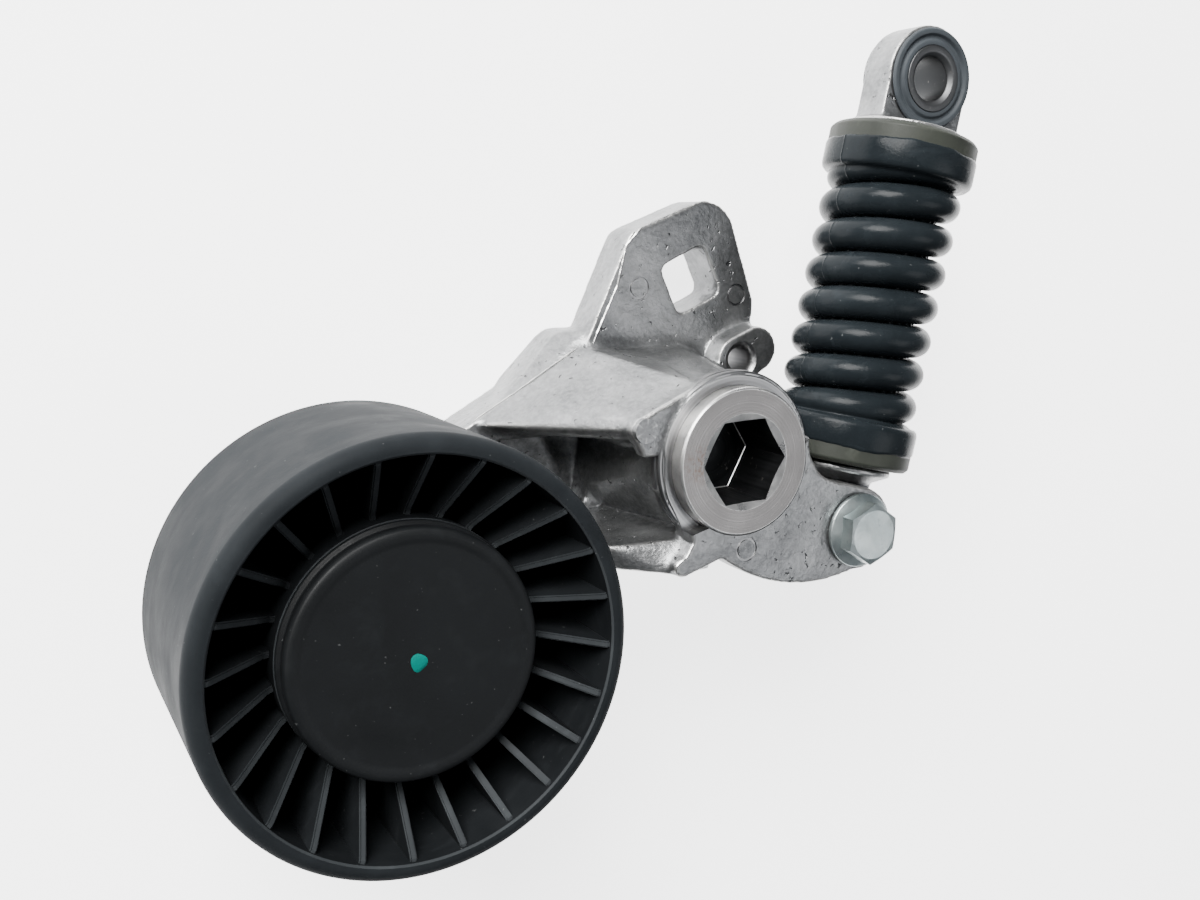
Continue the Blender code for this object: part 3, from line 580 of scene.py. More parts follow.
# Darker copy of the sleeve steel: painted shade in the upper sleeve's bore.
SHADED_BORE_STEEL = turned("sleeve_steel_upper_bore_shade", UPPER_EYE, (0.03, 0.031, 0.033), (0.017, 0.018, 0.019),
        0.42)
FACE_STEEL = turned("sleeve_steel_face", UPPER_EYE, (0.12, 0.122, 0.125), (0.08, 0.082, 0.085),
        0.48)
RACE_STEEL = turned("bearing_steel", PULLEY, (0.55, 0.55, 0.55), (0.4, 0.4, 0.4), 0.22)
ZINC = plated("zinc_plate", (0.44, 0.485, 0.48), (0.29, 0.335, 0.34), 0.33)
DARK_STEEL = plated("spring_steel", (0.12, 0.125, 0.135), (0.06, 0.06, 0.07), 0.42)
BRONZE = turned("bush_bronze", PIVOT_AXIS, (0.5, 0.34, 0.17), (0.34, 0.22, 0.11), 0.36)
OLIVE = moulded("seat_plate", (0.028, 0.0305, 0.025), (0.017, 0.0187, 0.0157), 0.5, 0.1,
        gloss=0.15)
TREAD = moulded("pulley_plastic", (0.013, 0.0148, 0.0165), (0.0092, 0.0106, 0.012), 0.58, 0.1,
        streaks=(60, 60, 90), gloss=0.03)
# A paler copy of the pulley plastic is a painted highlight on rib crests and the rim's edge; a
# darker copy is painted shade inside the rim.
CREST_HIGHLIGHT = moulded("pulley_plastic_crest_highlight", (0.026, 0.029, 0.031), (0.019, 0.021, 0.023), 0.6, 0.1,
        gloss=0.05)
INSIDE_SHADE = moulded("pulley_plastic_inside_shade", (0.0068, 0.0078, 0.0088), (0.0046, 0.0053, 0.006), 0.6,
        0.1, gloss=0.1)
CAP = moulded("cap_plastic", (0.0046, 0.0053, 0.006), (0.0033, 0.0038, 0.0043), 0.55, 0.12,
        0.04, gloss=0.16)
CAGE = moulded("cage_polymer", (0.3, 0.22, 0.12), (0.22, 0.16, 0.09), 0.5, 0.2)
RUBBER = moulded("matt_rubber", (0.04, 0.046, 0.052), (0.026, 0.03, 0.034), 0.6, 0.2, gloss=0.15)
GLOSS = moulded("boot_rubber", (0.0105, 0.0132, 0.0152), (0.0062, 0.008, 0.0094), 0.24, 0.15,
        0.1, (60, 210, 210), gloss=0.07)
PAINT = moulded("inspection_paint", (0, 0.125, 0.105), (0, 0.1, 0.083), 0.5, 0.0, 0.08,
        gloss=0.05)


# ---- pivot
HEX_TURN = 2
HEX_FLATS = 19.0
HEX_DEPTH = 16.0
BURR_R = 0.16
HEAD_T = 7.0
HEAD_GAP = 0.08               # round the head, narrower than the CAD's
COUNTERSINK_R = 11.3
COUNTERSINK_FLOOR_R, COUNTERSINK_DEPTH = 9.4, 0.65
THREAD_BORE_R, THREAD_DEPTH = 6.0, 30.0
CLIP_GAP_DEG = 16


def build_pivot():
    """Turned pin with its hexagon socket, and the bushes and rings round it."""
    shank_r = reach("front_bush")[0] - CLEAR
    head_r = reach("pivot_pin")[1] + CLEAR - HEAD_GAP
    face, under = PIN_FACE_Z, PIN_FACE_Z - HEAD_T
    body = lathe([
        (THREAD_BORE_R, 0), (shank_r - 0.8, 0), (shank_r, 0.6), (shank_r - 1.2, 0.9),
        (shank_r - 1.2, 2), (shank_r, 2), (shank_r, under), (head_r, under),
        (head_r, face - 0.45), (head_r - 0.4, face), (COUNTERSINK_R, face),
        (COUNTERSINK_FLOOR_R, face - COUNTERSINK_DEPTH), (0, face - COUNTERSINK_DEPTH),
        (0, THREAD_DEPTH), (THREAD_BORE_R, THREAD_DEPTH)], 160, 0.15, 2)
    ob = to_object("pivot_pin_turned", body, [STEEL, FLASH_AND_HIGHLIGHT])
    # Painted highlight: the countersink and the head's side take the pale second material instead
    # of the ground steel.
    for facet in ob.data.polygons:
        radius, z = facet.center.xy.length, facet.center.z
        countersink = COUNTERSINK_FLOOR_R < radius < COUNTERSINK_R and z > face - 1.5
        head_side = radius > head_r - 0.5 and z > under
        if countersink or head_side:
            facet.material_index = 1
    socket = prism(hexagon(HEX_FLATS, HEX_TURN), face - HEX_DEPTH, face + 1)
    # The socket's cut faces take the near-black steel: painted shade.
    cut(ob, socket, SOCKET)
    show(ob, "engine_pin", ["pivot_pin"], "ground_steel", 25.0)
    build_broach_line(face - HEX_DEPTH)
    rings = (("front_bush", BRONZE, "arm", "bush_bronze"),
             ("rear_bush", BRONZE, "arm", "bush_bronze"),
             ("front_seal_ring", RUBBER, "arm", "matt_rubber"),
             ("rear_thrust_washer", STEEL, "engine_pin", "ground_steel"))
    for node, mat, body_name, slot in rings:
        piece(node + "_turned", ring(*reach(node)), mat, body_name, [node], slot)
    _, clip_r, z0, z1 = reach("retaining_ring")
    clip = arc(0, 0, clip_r, CLIP_GAP_DEG, 360 - CLIP_GAP_DEG, 90)
    clip += arc(-1.0, 0, clip_r - 2.6, 354 - CLIP_GAP_DEG, 6 + CLIP_GAP_DEG, 90)
    piece("retaining_ring_sprung", prism(clip, z0, z1), DARK_STEEL, "engine_pin",
            ["retaining_ring"], "ground_steel")


def build_broach_line(floor):
    """Bright burr left where the hexagon's walls meet the socket's floor."""
    inset_flats = HEX_FLATS - 0.25 * sqrt(3)
    corners = [Vector((x, y, floor + 0.2)) for x, y in hexagon(inset_flats, HEX_TURN)]
    burrs = [sweep([a.lerp(b, t / 12) for t in range(13)], lambda i: BURR_R, 6)
            for a, b in zip(corners, corners[1:] + corners[:1])]
    piece("socket_burr", merged(*burrs), FLASH_AND_HIGHLIGHT, "engine_pin", (), "ground_steel")


# ---- arm
ARM_FRONT_Z = 18.5
LUG_REAR_Z = 6.5
EAR_FRONT_Z = 25.0
RING_R = 20.2
RING_REAR_Z, RING_FRONT_Z = 49.5, 54.0
PLATE_REAR_Z = 50.4
NIB = (-23.6, 8.4, 2.9)
WINDOW, WINDOW_SIDE, WINDOW_CORNER_R, WINDOW_TURN = (9.2, 39.1), 13.4, 2.2, radians(24)
EAR_HOLE, EAR_HOLE_R = (20.6, 19), 3.0
STRUT_BOLT_HOLE_R, PULLEY_BOLT_HOLE_R = 4.5, 5.4
LUG_CIRCLES = ((-3.8, 46.4, 6), (13.2, 49.6, 9), (24.4, 32.6, 4), (-19.2, 18.8, 3.6), (20, 14, 6))
POCKET = ((-62, -32), (-40, -18.6), (-21, -14.6), (-18.5, 2.2), (-44, 2.2), (-62, -10))
POCKET_FLOOR_Z = 11.0
EJECTOR_R = 2.6
LUG_EJECTORS = ((-5.8, 37.5), (22.9, 35))
PLATE_EJECTOR = (1, -20.7)


def lever_plate():
    """Flat lever in front, from the barrel's underside round the strut bolt and back."""
    outline = arc(21, 12, 43.2, 232, 285, 30)
    outline += arc(*LOWER_EYE[:2], 10.3, -80, 70, 40)
    outline += [(30.5, -8.2), (27.4, -7.6), (24.6, -6.6), (22.5, -5.5), (20.8, -3.9), (18.6, 0)]
    outline += arc(0, 0, 18.6, 10, 215, 80)
    outline += [(-13.4, -17.6), (-14.2, -18.6), (-15.2, -20.4)]
    outline += arc(-15.9, -23.0, 2.2, 130, 290, 16)
    return prism(outline, PLATE_REAR_Z, PLATE_FRONT_Z)


def arm_solids():
    """Convex solids that the casting is joined from: beam, ear, barrel, web, walls and lever."""
    beam = slab([(0, 0, 23.5), (-19.3, 21, 3), (*PULLEY[:2], 17)], ARM_REAR_Z, ARM_FRONT_Z, 96)
    ear = slab([(25.4, 21.4, 5.8), (20, 18.6, 6.4)], LUG_REAR_Z, EAR_FRONT_Z)
    barrel = disc(23.5, 16.0, 52.0, 160, top=17.6)
    web = slab([(0, 0, RING_R), NIB], RING_REAR_Z, RING_FRONT_Z - 0.8, 128)
    flank = [(x, y, z) for cx, cy, r in ((-23, 21, 6.4), (-34, 12, 5))
            for x, y in arc(cx, cy, r, 60, 240, 16) for z in (ARM_REAR_Z, ARM_REAR_Z + 8)]
    swell = hull(flank + [(-44, 9.8, 17), (-21, 23.6, 17.4), (-18, 28, 17.4), (-16, 20, 17.4)])
    upper = hull([
        (-50, 6.4, 8), (-46, 3.6, 8), (-12, 4, 8), (-6, 22.8, 8), (-21, 23.6, 8),
        (-50, 6.4, 17.5), (-45.5, 4.6, 18), (-21, 23.6, 17.5), (-6, 22.8, 17.5),
        (-24.5, 10.8, 50.2), (-26, 8.2, 50), (-24, 5.6, 50.2), (-10, 4, 52),
        (-9, 17.8, 52), (-36, 10.4, 33), (-37, 6.4, 33)])
    lower = hull([
        (-36.5, -25.5, 8), (-36.5, -19.5, 8), (-8, -26, 8), (-8, -16, 8),
        (-35.5, -25, 20), (-35.5, -19.5, 20), (-30.5, -23.2, 49.5), (-30.5, -18, 49.5),
        (-18, -24.6, 55.8), (-15.2, -19.6, 55), (-8, -24.6, 55.6), (-8, -17, 55)])
    return beam, ear, barrel, web, swell, upper, lower, lever_plate()


def pocket_rib():
    """Low rib across the pocket floor, an arc about the pulley's axis."""
    outer = arc(*PULLEY[:2], 61.2, 8, 34, 24)
    inner = arc(*PULLEY[:2], 59.4, 34, 8, 24)
    return prism(outer + inner, 9.0, 12.0)


def ejector(spot, z):
    """Ring groove that an ejector pin leaves in a face."""
    return moved(ring(EJECTOR_R - 0.35, EJECTOR_R + 0.25, z - 0.28, z + 2, 40, 0.0), at(spot))


def stepped_ring():
    """Turned collar in front of the barrel: two steps outside and grooves on its face."""
    z, step_r = RING_FRONT_Z, 18.5
    outline = [(14, 49.6), (RING_R - 0.1, 49.6), (RING_R + 0.2, 50), (RING_R + 0.2, 51.5),
            (RING_R - 0.3, 51.8), (RING_R - 0.3, 52.2), (RING_R + 0.2, 52.5),
            (RING_R + 0.2, z - 0.8), (RING_R - 0.2, z - 0.4)]
    outline += [(19.5, z - 0.4), (19.42, z - 0.65), (19.28, z - 0.65), (19.2, z - 0.4)]
    outline += [(step_r, z - 0.4), (step_r - 0.1, z), (17.9, z)]
    outline += [(17.85, z - 0.2), (17.7, z - 0.2), (17.65, z + 0.1), (14, z + 0.1)]
    return lathe(outline, 192, 0.06, 2)


def collar_tool():
    """Bore, head recess and the land turned in front of the collar, beside the lever plate."""
    bush_r = reach("front_bush")[1] + CLEAR
    recess_r = reach("pivot_pin")[1] + CLEAR
    floor = PIN_FACE_Z - HEAD_T - CLEAR
    land = to_object("land", ring(recess_r - 1, RING_R + 0.6, RING_FRONT_Z, 62, 192, 0.0))
    keep = prism([(-17, -16.6), (0, -12), (12, -4), (24, 12), (60, 12), (60, -60), (-40, -60),
            (-40, -16.6)], 50, 64)
    cut(land, keep)
    join(land, lathe([(0, -2), (bush_r + 0.7, -2), (bush_r + 0.7, 4.2), (bush_r, 4.9),
            (bush_r, floor), (recess_r, floor), (recess_r, 63), (0, 63)], 192))
    return to_bmesh(land)


def chamfered_hole(spot, radius, z0, z1, chamfer):
    wide = radius + chamfer + 3
    tool = lathe([(0, z0 - 3), (wide, z0 - 3), (radius, z0 + chamfer), (radius, z1 - chamfer),
            (wide, z1 + 3), (0, z1 + 3)], 64)
    return moved(tool, at(spot))


def build_arm():
    """Cast the joined solids, then add what is machined or left by the die."""
    beam, *others = arm_solids()
    ob = to_object("tensioner_arm_cast", beam)
    for bm in others:
        join(ob, bm)
    lug = to_object("lug", slab(LUG_CIRCLES, LUG_REAR_Z, ARM_FRONT_Z))
    window = rounded_square(*WINDOW, WINDOW_SIDE, WINDOW_CORNER_R, WINDOW_TURN)
    cut(lug, prism(window, 0, 30))
    join(ob, to_bmesh(lug))
    cut(ob, prism(POCKET, POCKET_FLOOR_Z, 60))
    join(ob, pocket_rib())
    relief_r = reach("rubber_boot", LOWER_EYE, STRUT_DIR)[1] + 3 * CLEAR
    cut(ob, moved(disc(relief_r, SEAT_LOW_S - 2, 90, 128), ALONG_STRUT))
    cast(ob, ARM_VOXEL, fill_rounds=45, soft_rounds=3)
    flash = flash_lines(ob)
    nib = disc(NIB[2] - 0.1, RING_REAR_Z - 3, RING_FRONT_Z + 0.1, 48)
    join(ob, moved(nib, at(NIB)))
    join(ob, stepped_ring(), MACHINED)
    holes = merged(
        collar_tool(),
        chamfered_hole(LOWER_EYE, STRUT_BOLT_HOLE_R, PLATE_REAR_Z, PLATE_FRONT_Z, 0.4),
        chamfered_hole(PULLEY, PULLEY_BOLT_HOLE_R, ARM_REAR_Z, ARM_FRONT_Z, 0.5),
        chamfered_hole(EAR_HOLE, EAR_HOLE_R, LUG_REAR_Z, EAR_FRONT_Z, 1.6),
        *[ejector(spot, ARM_FRONT_Z) for spot in LUG_EJECTORS],
        ejector(PLATE_EJECTOR, PLATE_FRONT_Z))
    cut(ob, holes, MACHINED)
    show(ob, "arm", ["tensioner_arm"], "cast_alloy", 50.0)
    show(flash, "arm", (), "cast_alloy")


FLASH_ROUTES = (        # round the lug, along the beam, along the web and round the tail
    [(-18.8, 24.2, 18.5), (-12, 38, 18.5), (-9.4, 48, 18.5), (-5, 52.4, 18.5), (4, 56.3, 18.5),
     (12.6, 58.6, 18.5), (17.5, 57.6, 18.5)],
    [(-50, 6.4, 17.5), (-38, 13.2, 17.5), (-28, 19.5, 17.5), (-21.5, 23.4, 17.5)],
    [(-26, 9.8, 54), (-20, 13, 54), (-13.5, 15.8, 54)],
    [(-13.4, -17.8, 57.6), (-15.4, -20.6, 57.6), (-17.9, -22.2, 57.6), (-17.6, -24.6, 57.6),
     (-14, -25, 57.6)])


def flash_lines(arm):
    """Thin rough ridges that the die left along the casting's edges."""
    skin = BVHTree.FromObject(arm, bpy.context.evaluated_depsgraph_get())
    ridges = []
    for number, corners in enumerate(FLASH_ROUTES):
        path = []
        for a, b in zip(map(Vector, corners), map(Vector, corners[1:])):
            steps = max(2, int((b - a).length / 0.5))
            path += [skin.find_nearest(a.lerp(b, i / steps))[0] for i in range(steps)]
        seed = Vector((number * 9, 3, 5))

        def size(i, path=path, seed=seed):
            rough = noise.noise(path[i] * 0.9 + seed) + 0.6 * noise.noise(path[i] * 2.7 + seed)
            ends = min(1.0, i / 6, (len(path) - 1 - i) / 6)
            return (0.26 + 0.16 * rough) * max(ends, 0.15)
        ridges.append(sweep(path, size, 6))
    return to_object("casting_flash", merged(*ridges), [FLASH_AND_HIGHLIGHT])


# ---- pulley and bearing
PULLEY_WALL = 4.1
RIM_ROUND = 3.0
RIB_COUNT = 24
RIB_T = 1.5
RIB_TURN = radians(10.8)
BALL_COUNT = 8
PULLEY_BOLT_FLATS, PULLEY_BOLT_TURN = 16.0, 17.1887
RIB_ROOT_Z = 56.3
RIB_TIP_DROP = 0.8
HUB_R = 26.6
HUB_FRONT_Z = 60.0
CAP_R = 26.1
CAP_WALL = 1.8


def pulley_rib(inner, root_z, tip_z, web_z):
    """One radial rib on the +X side, its sloping front edge eased."""
    side = [(HUB_R - 1.3, web_z), (HUB_R - 1.3, root_z), (HUB_R + 1.2, root_z + 1.1),
            (inner - 1.4, tip_z - 0.9), (inner - 0.5, tip_z - 0.2), (inner + 1.2, tip_z),
            (inner + 1.2, web_z)]
    blade = bmesh.new()
    for y in (-RIB_T / 2, RIB_T / 2):
        blade.faces.new([blade.verts.new((x, y, z)) for x, z in side])
    bmesh.ops.bridge_loops(blade, edges=blade.edges[:])
    outward(blade)
    crest = [e for e in blade.edges if all(v.co.z > root_z - 0.5 for v in e.verts)
            and abs(e.verts[0].co.y - e.verts[1].co.y) < 0.01]
    bmesh.ops.bevel(blade, geom=crest, offset=0.3, segments=2, affect="EDGES")
    return blade


def shade_inside(mesh, inner, web_z):
    """Painted shade and highlight: sheltered faces in front of the web are darker, rib crests and
    the rim's edge paler.
    """
    inside, highlit = len(mesh.materials), len(mesh.materials) + 1
    mesh.materials.append(INSIDE_SHADE)
    mesh.materials.append(CREST_HIGHLIGHT)
    for facet in mesh.polygons:
        radius, z = facet.center.xy.length, facet.center.z
        if radius < inner + 0.6 and z > web_z:
            crest = facet.normal.z > 0.5 and z > RIB_ROOT_Z - 0.5
            facet.material_index = highlit if crest else inside


def build_pulley():
    """Rim, web and hub in one lathed moulding, with ribs in front, and what it carries."""
    rear, front = PULLEY_LOW[2], PULLEY_HIGH[2]
    mid = (rear + front) / 2
    inner = PULLEY_R - PULLEY_WALL
    web0, web1 = mid - 8.0, mid - 4.0
    bearing_r = reach("bearing_outer_ring", PULLEY)[1]
    b0, b1 = (corner[2] for corner in box_mm("bearing_outer_ring"))
    hub_in = bearing_r + CLEAR
    rim = arc(PULLEY_R - RIM_ROUND, front - RIM_ROUND, RIM_ROUND, 0, 90, 10)
    profile = [(PULLEY_R - 0.9, rear), (PULLEY_R, rear + 0.9)] + rim
    profile += [(inner + 0.5, front), (inner + 0.1, front - 0.4)]
    profile += rounded([
        (inner, front - 3), (inner, web1 + 1.5), (HUB_R, web1 - 3), (HUB_R, HUB_FRONT_Z),
        (hub_in, HUB_FRONT_Z), (hub_in, b0 - CLEAR), (hub_in - 2, b0 - CLEAR),
        (hub_in - 2, web0 - 5), (HUB_R + 0.6, web0 - 5), (HUB_R + 0.6, web0),
        (inner, web0), (inner + 0.6, rear)], 0.4, 3, closed=False)
    ob = to_object("pulley_moulding", lathe(profile, 240), [TREAD])
    turns = [Matrix.Rotation(RIB_TURN + TAU * k / RIB_COUNT, 4, "Z") for k in range(RIB_COUNT)]
    blades = [moved(pulley_rib(inner, RIB_ROOT_Z, front - RIB_TIP_DROP, web0 + 1), turn)
              for turn in turns]
    join(ob, merged(*blades), TREAD)
    shade_inside(ob.data, inner, web0)
    ob.data.transform(PULLEY_SPOT)
    show(ob, "pulley", ["pulley"], "pulley_plastic", 30.0)
    build_cap(hub_in, b1)
    build_paint_dot()
    build_bearing(b0, b1)


def build_cap(hub_in, b1):
    """Snap-in cap: skirt inside the hub, thin flange on it and a drum standing in front."""
    z, flange_z = CAP_FRONT_Z, HUB_FRONT_Z + CLEAR
    skirt_in = hub_in - 1.5
    cap = lathe([
        (0, z - CAP_WALL), (skirt_in, z - CAP_WALL), (skirt_in, b1 + 2.6), (hub_in - 0.9, b1 + 0.6),
        (hub_in - 0.5, b1 + 0.6), (hub_in - 0.5, flange_z), (HUB_R - 0.1, flange_z),
        (HUB_R - 0.1, flange_z + 0.9), (CAP_R - 0.6, flange_z + 1.3), (CAP_R - 0.6, z - 2.6),
        (CAP_R - 0.1, z - 2), (CAP_R, z - 1.2), (CAP_R - 0.4, z - 0.3), (CAP_R - 1.3, z),
        (CAP_R - 2.3, z - 0.03), (CAP_R - 3.3, z - 0.22), (0, z - 0.22)], 200, 0.35)
    piece("dust_cap_moulding", cap, CAP, "pulley", ["dust_cap"], "cap_plastic", PULLEY_SPOT,
            sharp_deg=25.0)


def build_paint_dot():
    """Small dab of inspection paint on the cap, thick in the middle and thin at its rim."""
    spot = Vector((0.6, -1.5, CAP_FRONT_Z - 0.22))
    rings, around, thick = 6, 40, 0.28
    bm = bmesh.new()
    top = bm.verts.new(spot + Vector((0, 0, thick)))
    last = None
    for k in range(1, rings + 2):
        t = min(k / rings, 1.0)
        row = []
        for i in range(around):
            a = TAU * i / around
            edge = 1.72 + 0.3 * sin(a - 0.5) + 0.14 * sin(3 * a + 1.1)
            lift = thick * (1 - t ** 3) if k <= rings else -0.15
            off = Vector((edge * t * cos(a), edge * t * sin(a) * 1.08, lift))
            row.append(bm.verts.new(spot + off))
        if last:
            band(bm, row, last)
        else:
            for i in range(around):
                bm.faces.new((top, row[i], row[(i + 1) % around]))
        last = row
    bm.faces.new(last)
    piece("inspection_paint_dot", outward(bm), PAINT, "pulley", (), None, PULLEY_SPOT)


def build_bearing(b0, b1):
    """Seals, spacer, bolt, balls and races inside the hub, between z = b0 and z = b1."""
    for node in ("bearing_seal_front", "bearing_seal_rear"):
        r0, r1, z0, z1 = reach(node, (*PULLEY[:2], 0))
        c = (z0 + z1) / 2
        body = lathe([(r0, z0), (r0 + 1.4, z0), (r0 + 1.8, c - 0.2), (r1 - 1.8, c - 0.2),
                (r1 - 1.4, z0), (r1, z0), (r1, z1), (r1 - 1.4, z1),
                (r1 - 1.8, c + 0.2), (r0 + 1.8, c + 0.2), (r0 + 1.4, z1), (r0, z1)], 128, 0.12, 2)
        piece(node + "_moulded", body, RUBBER, "pulley", [node], "matt_rubber", PULLEY_SPOT)
    spacer = ring(*reach("pulley_spacer", (*PULLEY[:2], 0)), 96, 0.5)
    piece("pulley_spacer_turned", spacer, RACE_STEEL, "arm", ["pulley_spacer"], "ground_steel",
          PULLEY_SPOT)
    rear = box_mm("pulley_bolt")[0][2]
    bolt = to_object("pulley_bolt_finished", lathe([
        (0, rear), (4.3, rear), (5, rear + 0.9), (5, b0 + 1), (8.4, b0 + 1),
        (8.4, b1 + CLEAR), (12.2, b1 + CLEAR), (12.2, b1 + 2), (9.2, b1 + 2.6),
        (0, b1 + 2.6)], 96, 0.2, 2), [ZINC])
    join(bolt, hex_head(PULLEY_BOLT_FLATS, PULLEY_BOLT_TURN, b1 + 2.0, b1 + 8.4), ZINC)
    bolt.data.transform(PULLEY_SPOT)
    show(bolt, "arm", ["pulley_bolt"], "zinc_plate", 25.0)
    for k in range(BALL_COUNT):
        ball = "bearing_ball_%d" % (k + 1)
        low, high = box_mm(ball)
        bm = bmesh.new()
        bmesh.ops.create_icosphere(bm, subdivisions=4, radius=(high[2] - low[2]) / 2,
                matrix=Matrix.Translation(Vector((low + high) / 2)))
        piece(ball + "_ground", bm, RACE_STEEL, "ball_set", [ball], "ground_steel")
    for node in ("bearing_outer_ring", "bearing_inner_ring"):
        coat(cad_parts[node], RACE_STEEL)
    coat(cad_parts["bearing_cage"], CAGE)


# ---- strut
BOLT_FLATS = 13.0
HEAD_TURN, NUT_TURN = 26, 20
EYE_HALF_W = 4.9
LIP_HALF_W = 6.0
CUFF_R = 18.4
CUFF_H = 11.0
SEAT_FACE_R = 18.05
FOLD_PITCH = 8.3
FOLD_START_S = 31.7
FOLD_SWING = 2 * radians(104)       # turn of the profile from one fold's root to the next
CREST_R = 16.9
ROLL_DEPTH = 4.3
ROLL_HALF = 3.92
BOOT_WALL = 1.1
BOOT_SIDES = 168
FOLD_ROWS = 26      # per pitch
FOLD_END = 2.4                # length over which the first and last roll run out
PARTING_DEG, PARTING_H = -177.0, 0.16
CUFF_LIP = 4.3
SPRING_R = 12.5
SPRING_WIRE_R = 2.3
SEAT_DEPTH, SEAT_T = 7.0, 2.4


def hex_head(flats, turn, z0, z1):
    """Forged hexagon head with its corners turned off to a round chamfer at the top."""
    head = to_object("head", prism(hexagon(flats, turn), z0, z1))
    r = flats / sqrt(3)
    dome = lathe([(0, z0 - 1), (r + 2, z0 - 1), (r + 2, z1 - 1.1),
            (flats / 2 - 0.6, z1), (0, z1)], 96, 0.12, 2)
    combine(head, dome, "INTERSECT", None)
    return to_bmesh(head)


def build_strut_bolt():
    """Flange bolt through the lever plate and the nut behind it."""
    z = PLATE_FRONT_Z + CLEAR
    rear = box_mm("flange_bolt")[0][2]
    bolt = to_object("flange_bolt_forged", lathe([
        (0, rear), (3.4, rear), (4, rear + 0.7), (4, z), (8.8, z), (9, z + 0.4),
        (9, z + 1.2), (7, z + 2.2), (6, z + 2.6), (0, z + 2.6)], 128, 0.25), [ZINC])
    join(bolt, hex_head(BOLT_FLATS, HEAD_TURN, z + 1.4, z + 6.2), ZINC)
    bolt.data.transform(at(LOWER_EYE))
    show(bolt, "arm", ["flange_bolt"], "zinc_plate", 25.0)
    low, high = box_mm("strut_nut")
    nut = to_object("strut_nut_forged", lathe([
        (4.1, low[2] + 2), (8.5, low[2] + 2), (8.8, high[2] - 1.2), (8.8, high[2]),
        (4.1, high[2])], 96, 0.3), [ZINC])
    join(nut, hex_head(BOLT_FLATS, NUT_TURN, low[2], high[2] - 1.0), ZINC)
    cut(nut, disc(4.3, low[2] - 4, high[2] + 4, 64), ZINC)
    nut.data.transform(at(LOWER_EYE))
    show(nut, "arm", ["strut_nut"], "zinc_plate", 25.0)


def build_eye(name, node, radius, neck_half, neck_end, extra, hole_r, spot, body):
    """Cast strut end: round eye, straight neck and the solid that it carries."""
    low, high = sorted((0, neck_end))
    ob = to_object(name, disc(radius, -EYE_HALF_W, EYE_HALF_W, 128))
    join(ob, hull([(sx * neck_half, y, sz * EYE_HALF_W) for sx in (-1, 1) for sz in (-1, 1)
            for y in (low, high)]))
    join(ob, extra)
    cast(ob, EYE_VOXEL, fill_rounds=25, soft_rounds=5)
    cut(ob, disc(hole_r, -12, 12, 128), MACHINED)
    ob.data.transform(spot)
    show(ob, body, [node], "cast_alloy", 50.0)


def laid(bm):
    """Turn a lathed solid so that its axis lies along the strut."""
    return moved(bm, Matrix.Rotation(-pi / 2, 4, "X"))


def build_bush(prefix, r_body, r_lip, mouth, spot, centre, steel, body, sleeve_body):
    """Rubber bush with a lip and a ring groove on both faces, and its steel sleeve."""
    r_bore, r_sleeve, z0, z1 = reach(prefix + "_sleeve", centre)
    root, tip = EYE_HALF_W + CLEAR, LIP_HALF_W
    r0 = r_sleeve + 0.05
    mid = (r0 + r_lip) / 2

    def face(s):
        return [(r0, s * (tip - 0.1)), (mid - 1, s * (tip - 0.1)), (mid - 0.5, s * (tip - 0.7)),
                (mid + 0.1, s * (tip - 0.7)), (mid + 0.6, s * tip), (r_lip - 0.4, s * tip),
                (r_lip, s * (tip - 0.4)), (r_lip, s * root), (r_body, s * root)]
    body_bm = lathe(face(-1) + face(1)[::-1], 128, 0.16, 2)
    piece(prefix + "_rubber_bush_moulded", body_bm, RUBBER, body, [prefix + "_rubber_bush"],
            "matt_rubber", spot)
    sleeve = lathe([(r_bore, z0), (r_sleeve, z0), (r_sleeve, z1), (r_bore + mouth, z1),
            (r_bore, z1 - mouth)], 128, 0.3)
    ob = to_object(prefix + "_sleeve_turned", sleeve, [steel, FACE_STEEL])
    # Faces turned up take the face steel; the rest keep the given steel. For the upper sleeve that
    # is a darker copy, painted shade in its bore.
    for facet in ob.data.polygons:
        if facet.normal.z > 0.3:
            facet.material_index = 1
    ob.data.transform(spot)
    show(ob, sleeve_body, [prefix + "_sleeve"], "ground_steel")


def build_seat(name, node, start, d, body):
    """Pressed spring cup; the strip that the cuff leaves bare stands out to the cuff's face."""
    r_rod = reach(node, LOWER_EYE, STRUT_DIR)[0]
    inner = CUFF_R - 1.5
    bm = lathe([
        (r_rod, start), (SEAT_FACE_R - 0.9, start), (SEAT_FACE_R, start + d),
        (SEAT_FACE_R, start + d * 4.6), (inner, start + d * 4.9),
        (inner, start + d * SEAT_DEPTH), (inner - 1.6, start + d * SEAT_DEPTH),
        (inner - 1.6, start + d * SEAT_T), (r_rod, start + d * SEAT_T)], 160, 0.35)
    piece(name, bm, OLIVE, body, [node], "seat_plate", ALONG_STRUT)


def fold_point(angle, s, low, high):
    """Boot surface for a turn about the strut and a station: round rolls on a right-hand helix."""
    phase = (s - FOLD_START_S) / FOLD_PITCH - angle / TAU
    phase -= round(phase)
    swing = phase * FOLD_SWING
    roll_r = CREST_R - ROLL_DEPTH * (1 - cos(swing))
    roll_s = s + ROLL_HALF * sin(swing) - phase * FOLD_PITCH
    inside = min(s - low, high - s)
    ease = max(0.0, min(1.0, inside / FOLD_END))
    ease = ease * ease * (3 - 2 * ease)
    tuck = CREST_R - 0.7
    return tuck + (roll_r - tuck) * ease, s + (roll_s - s) * ease


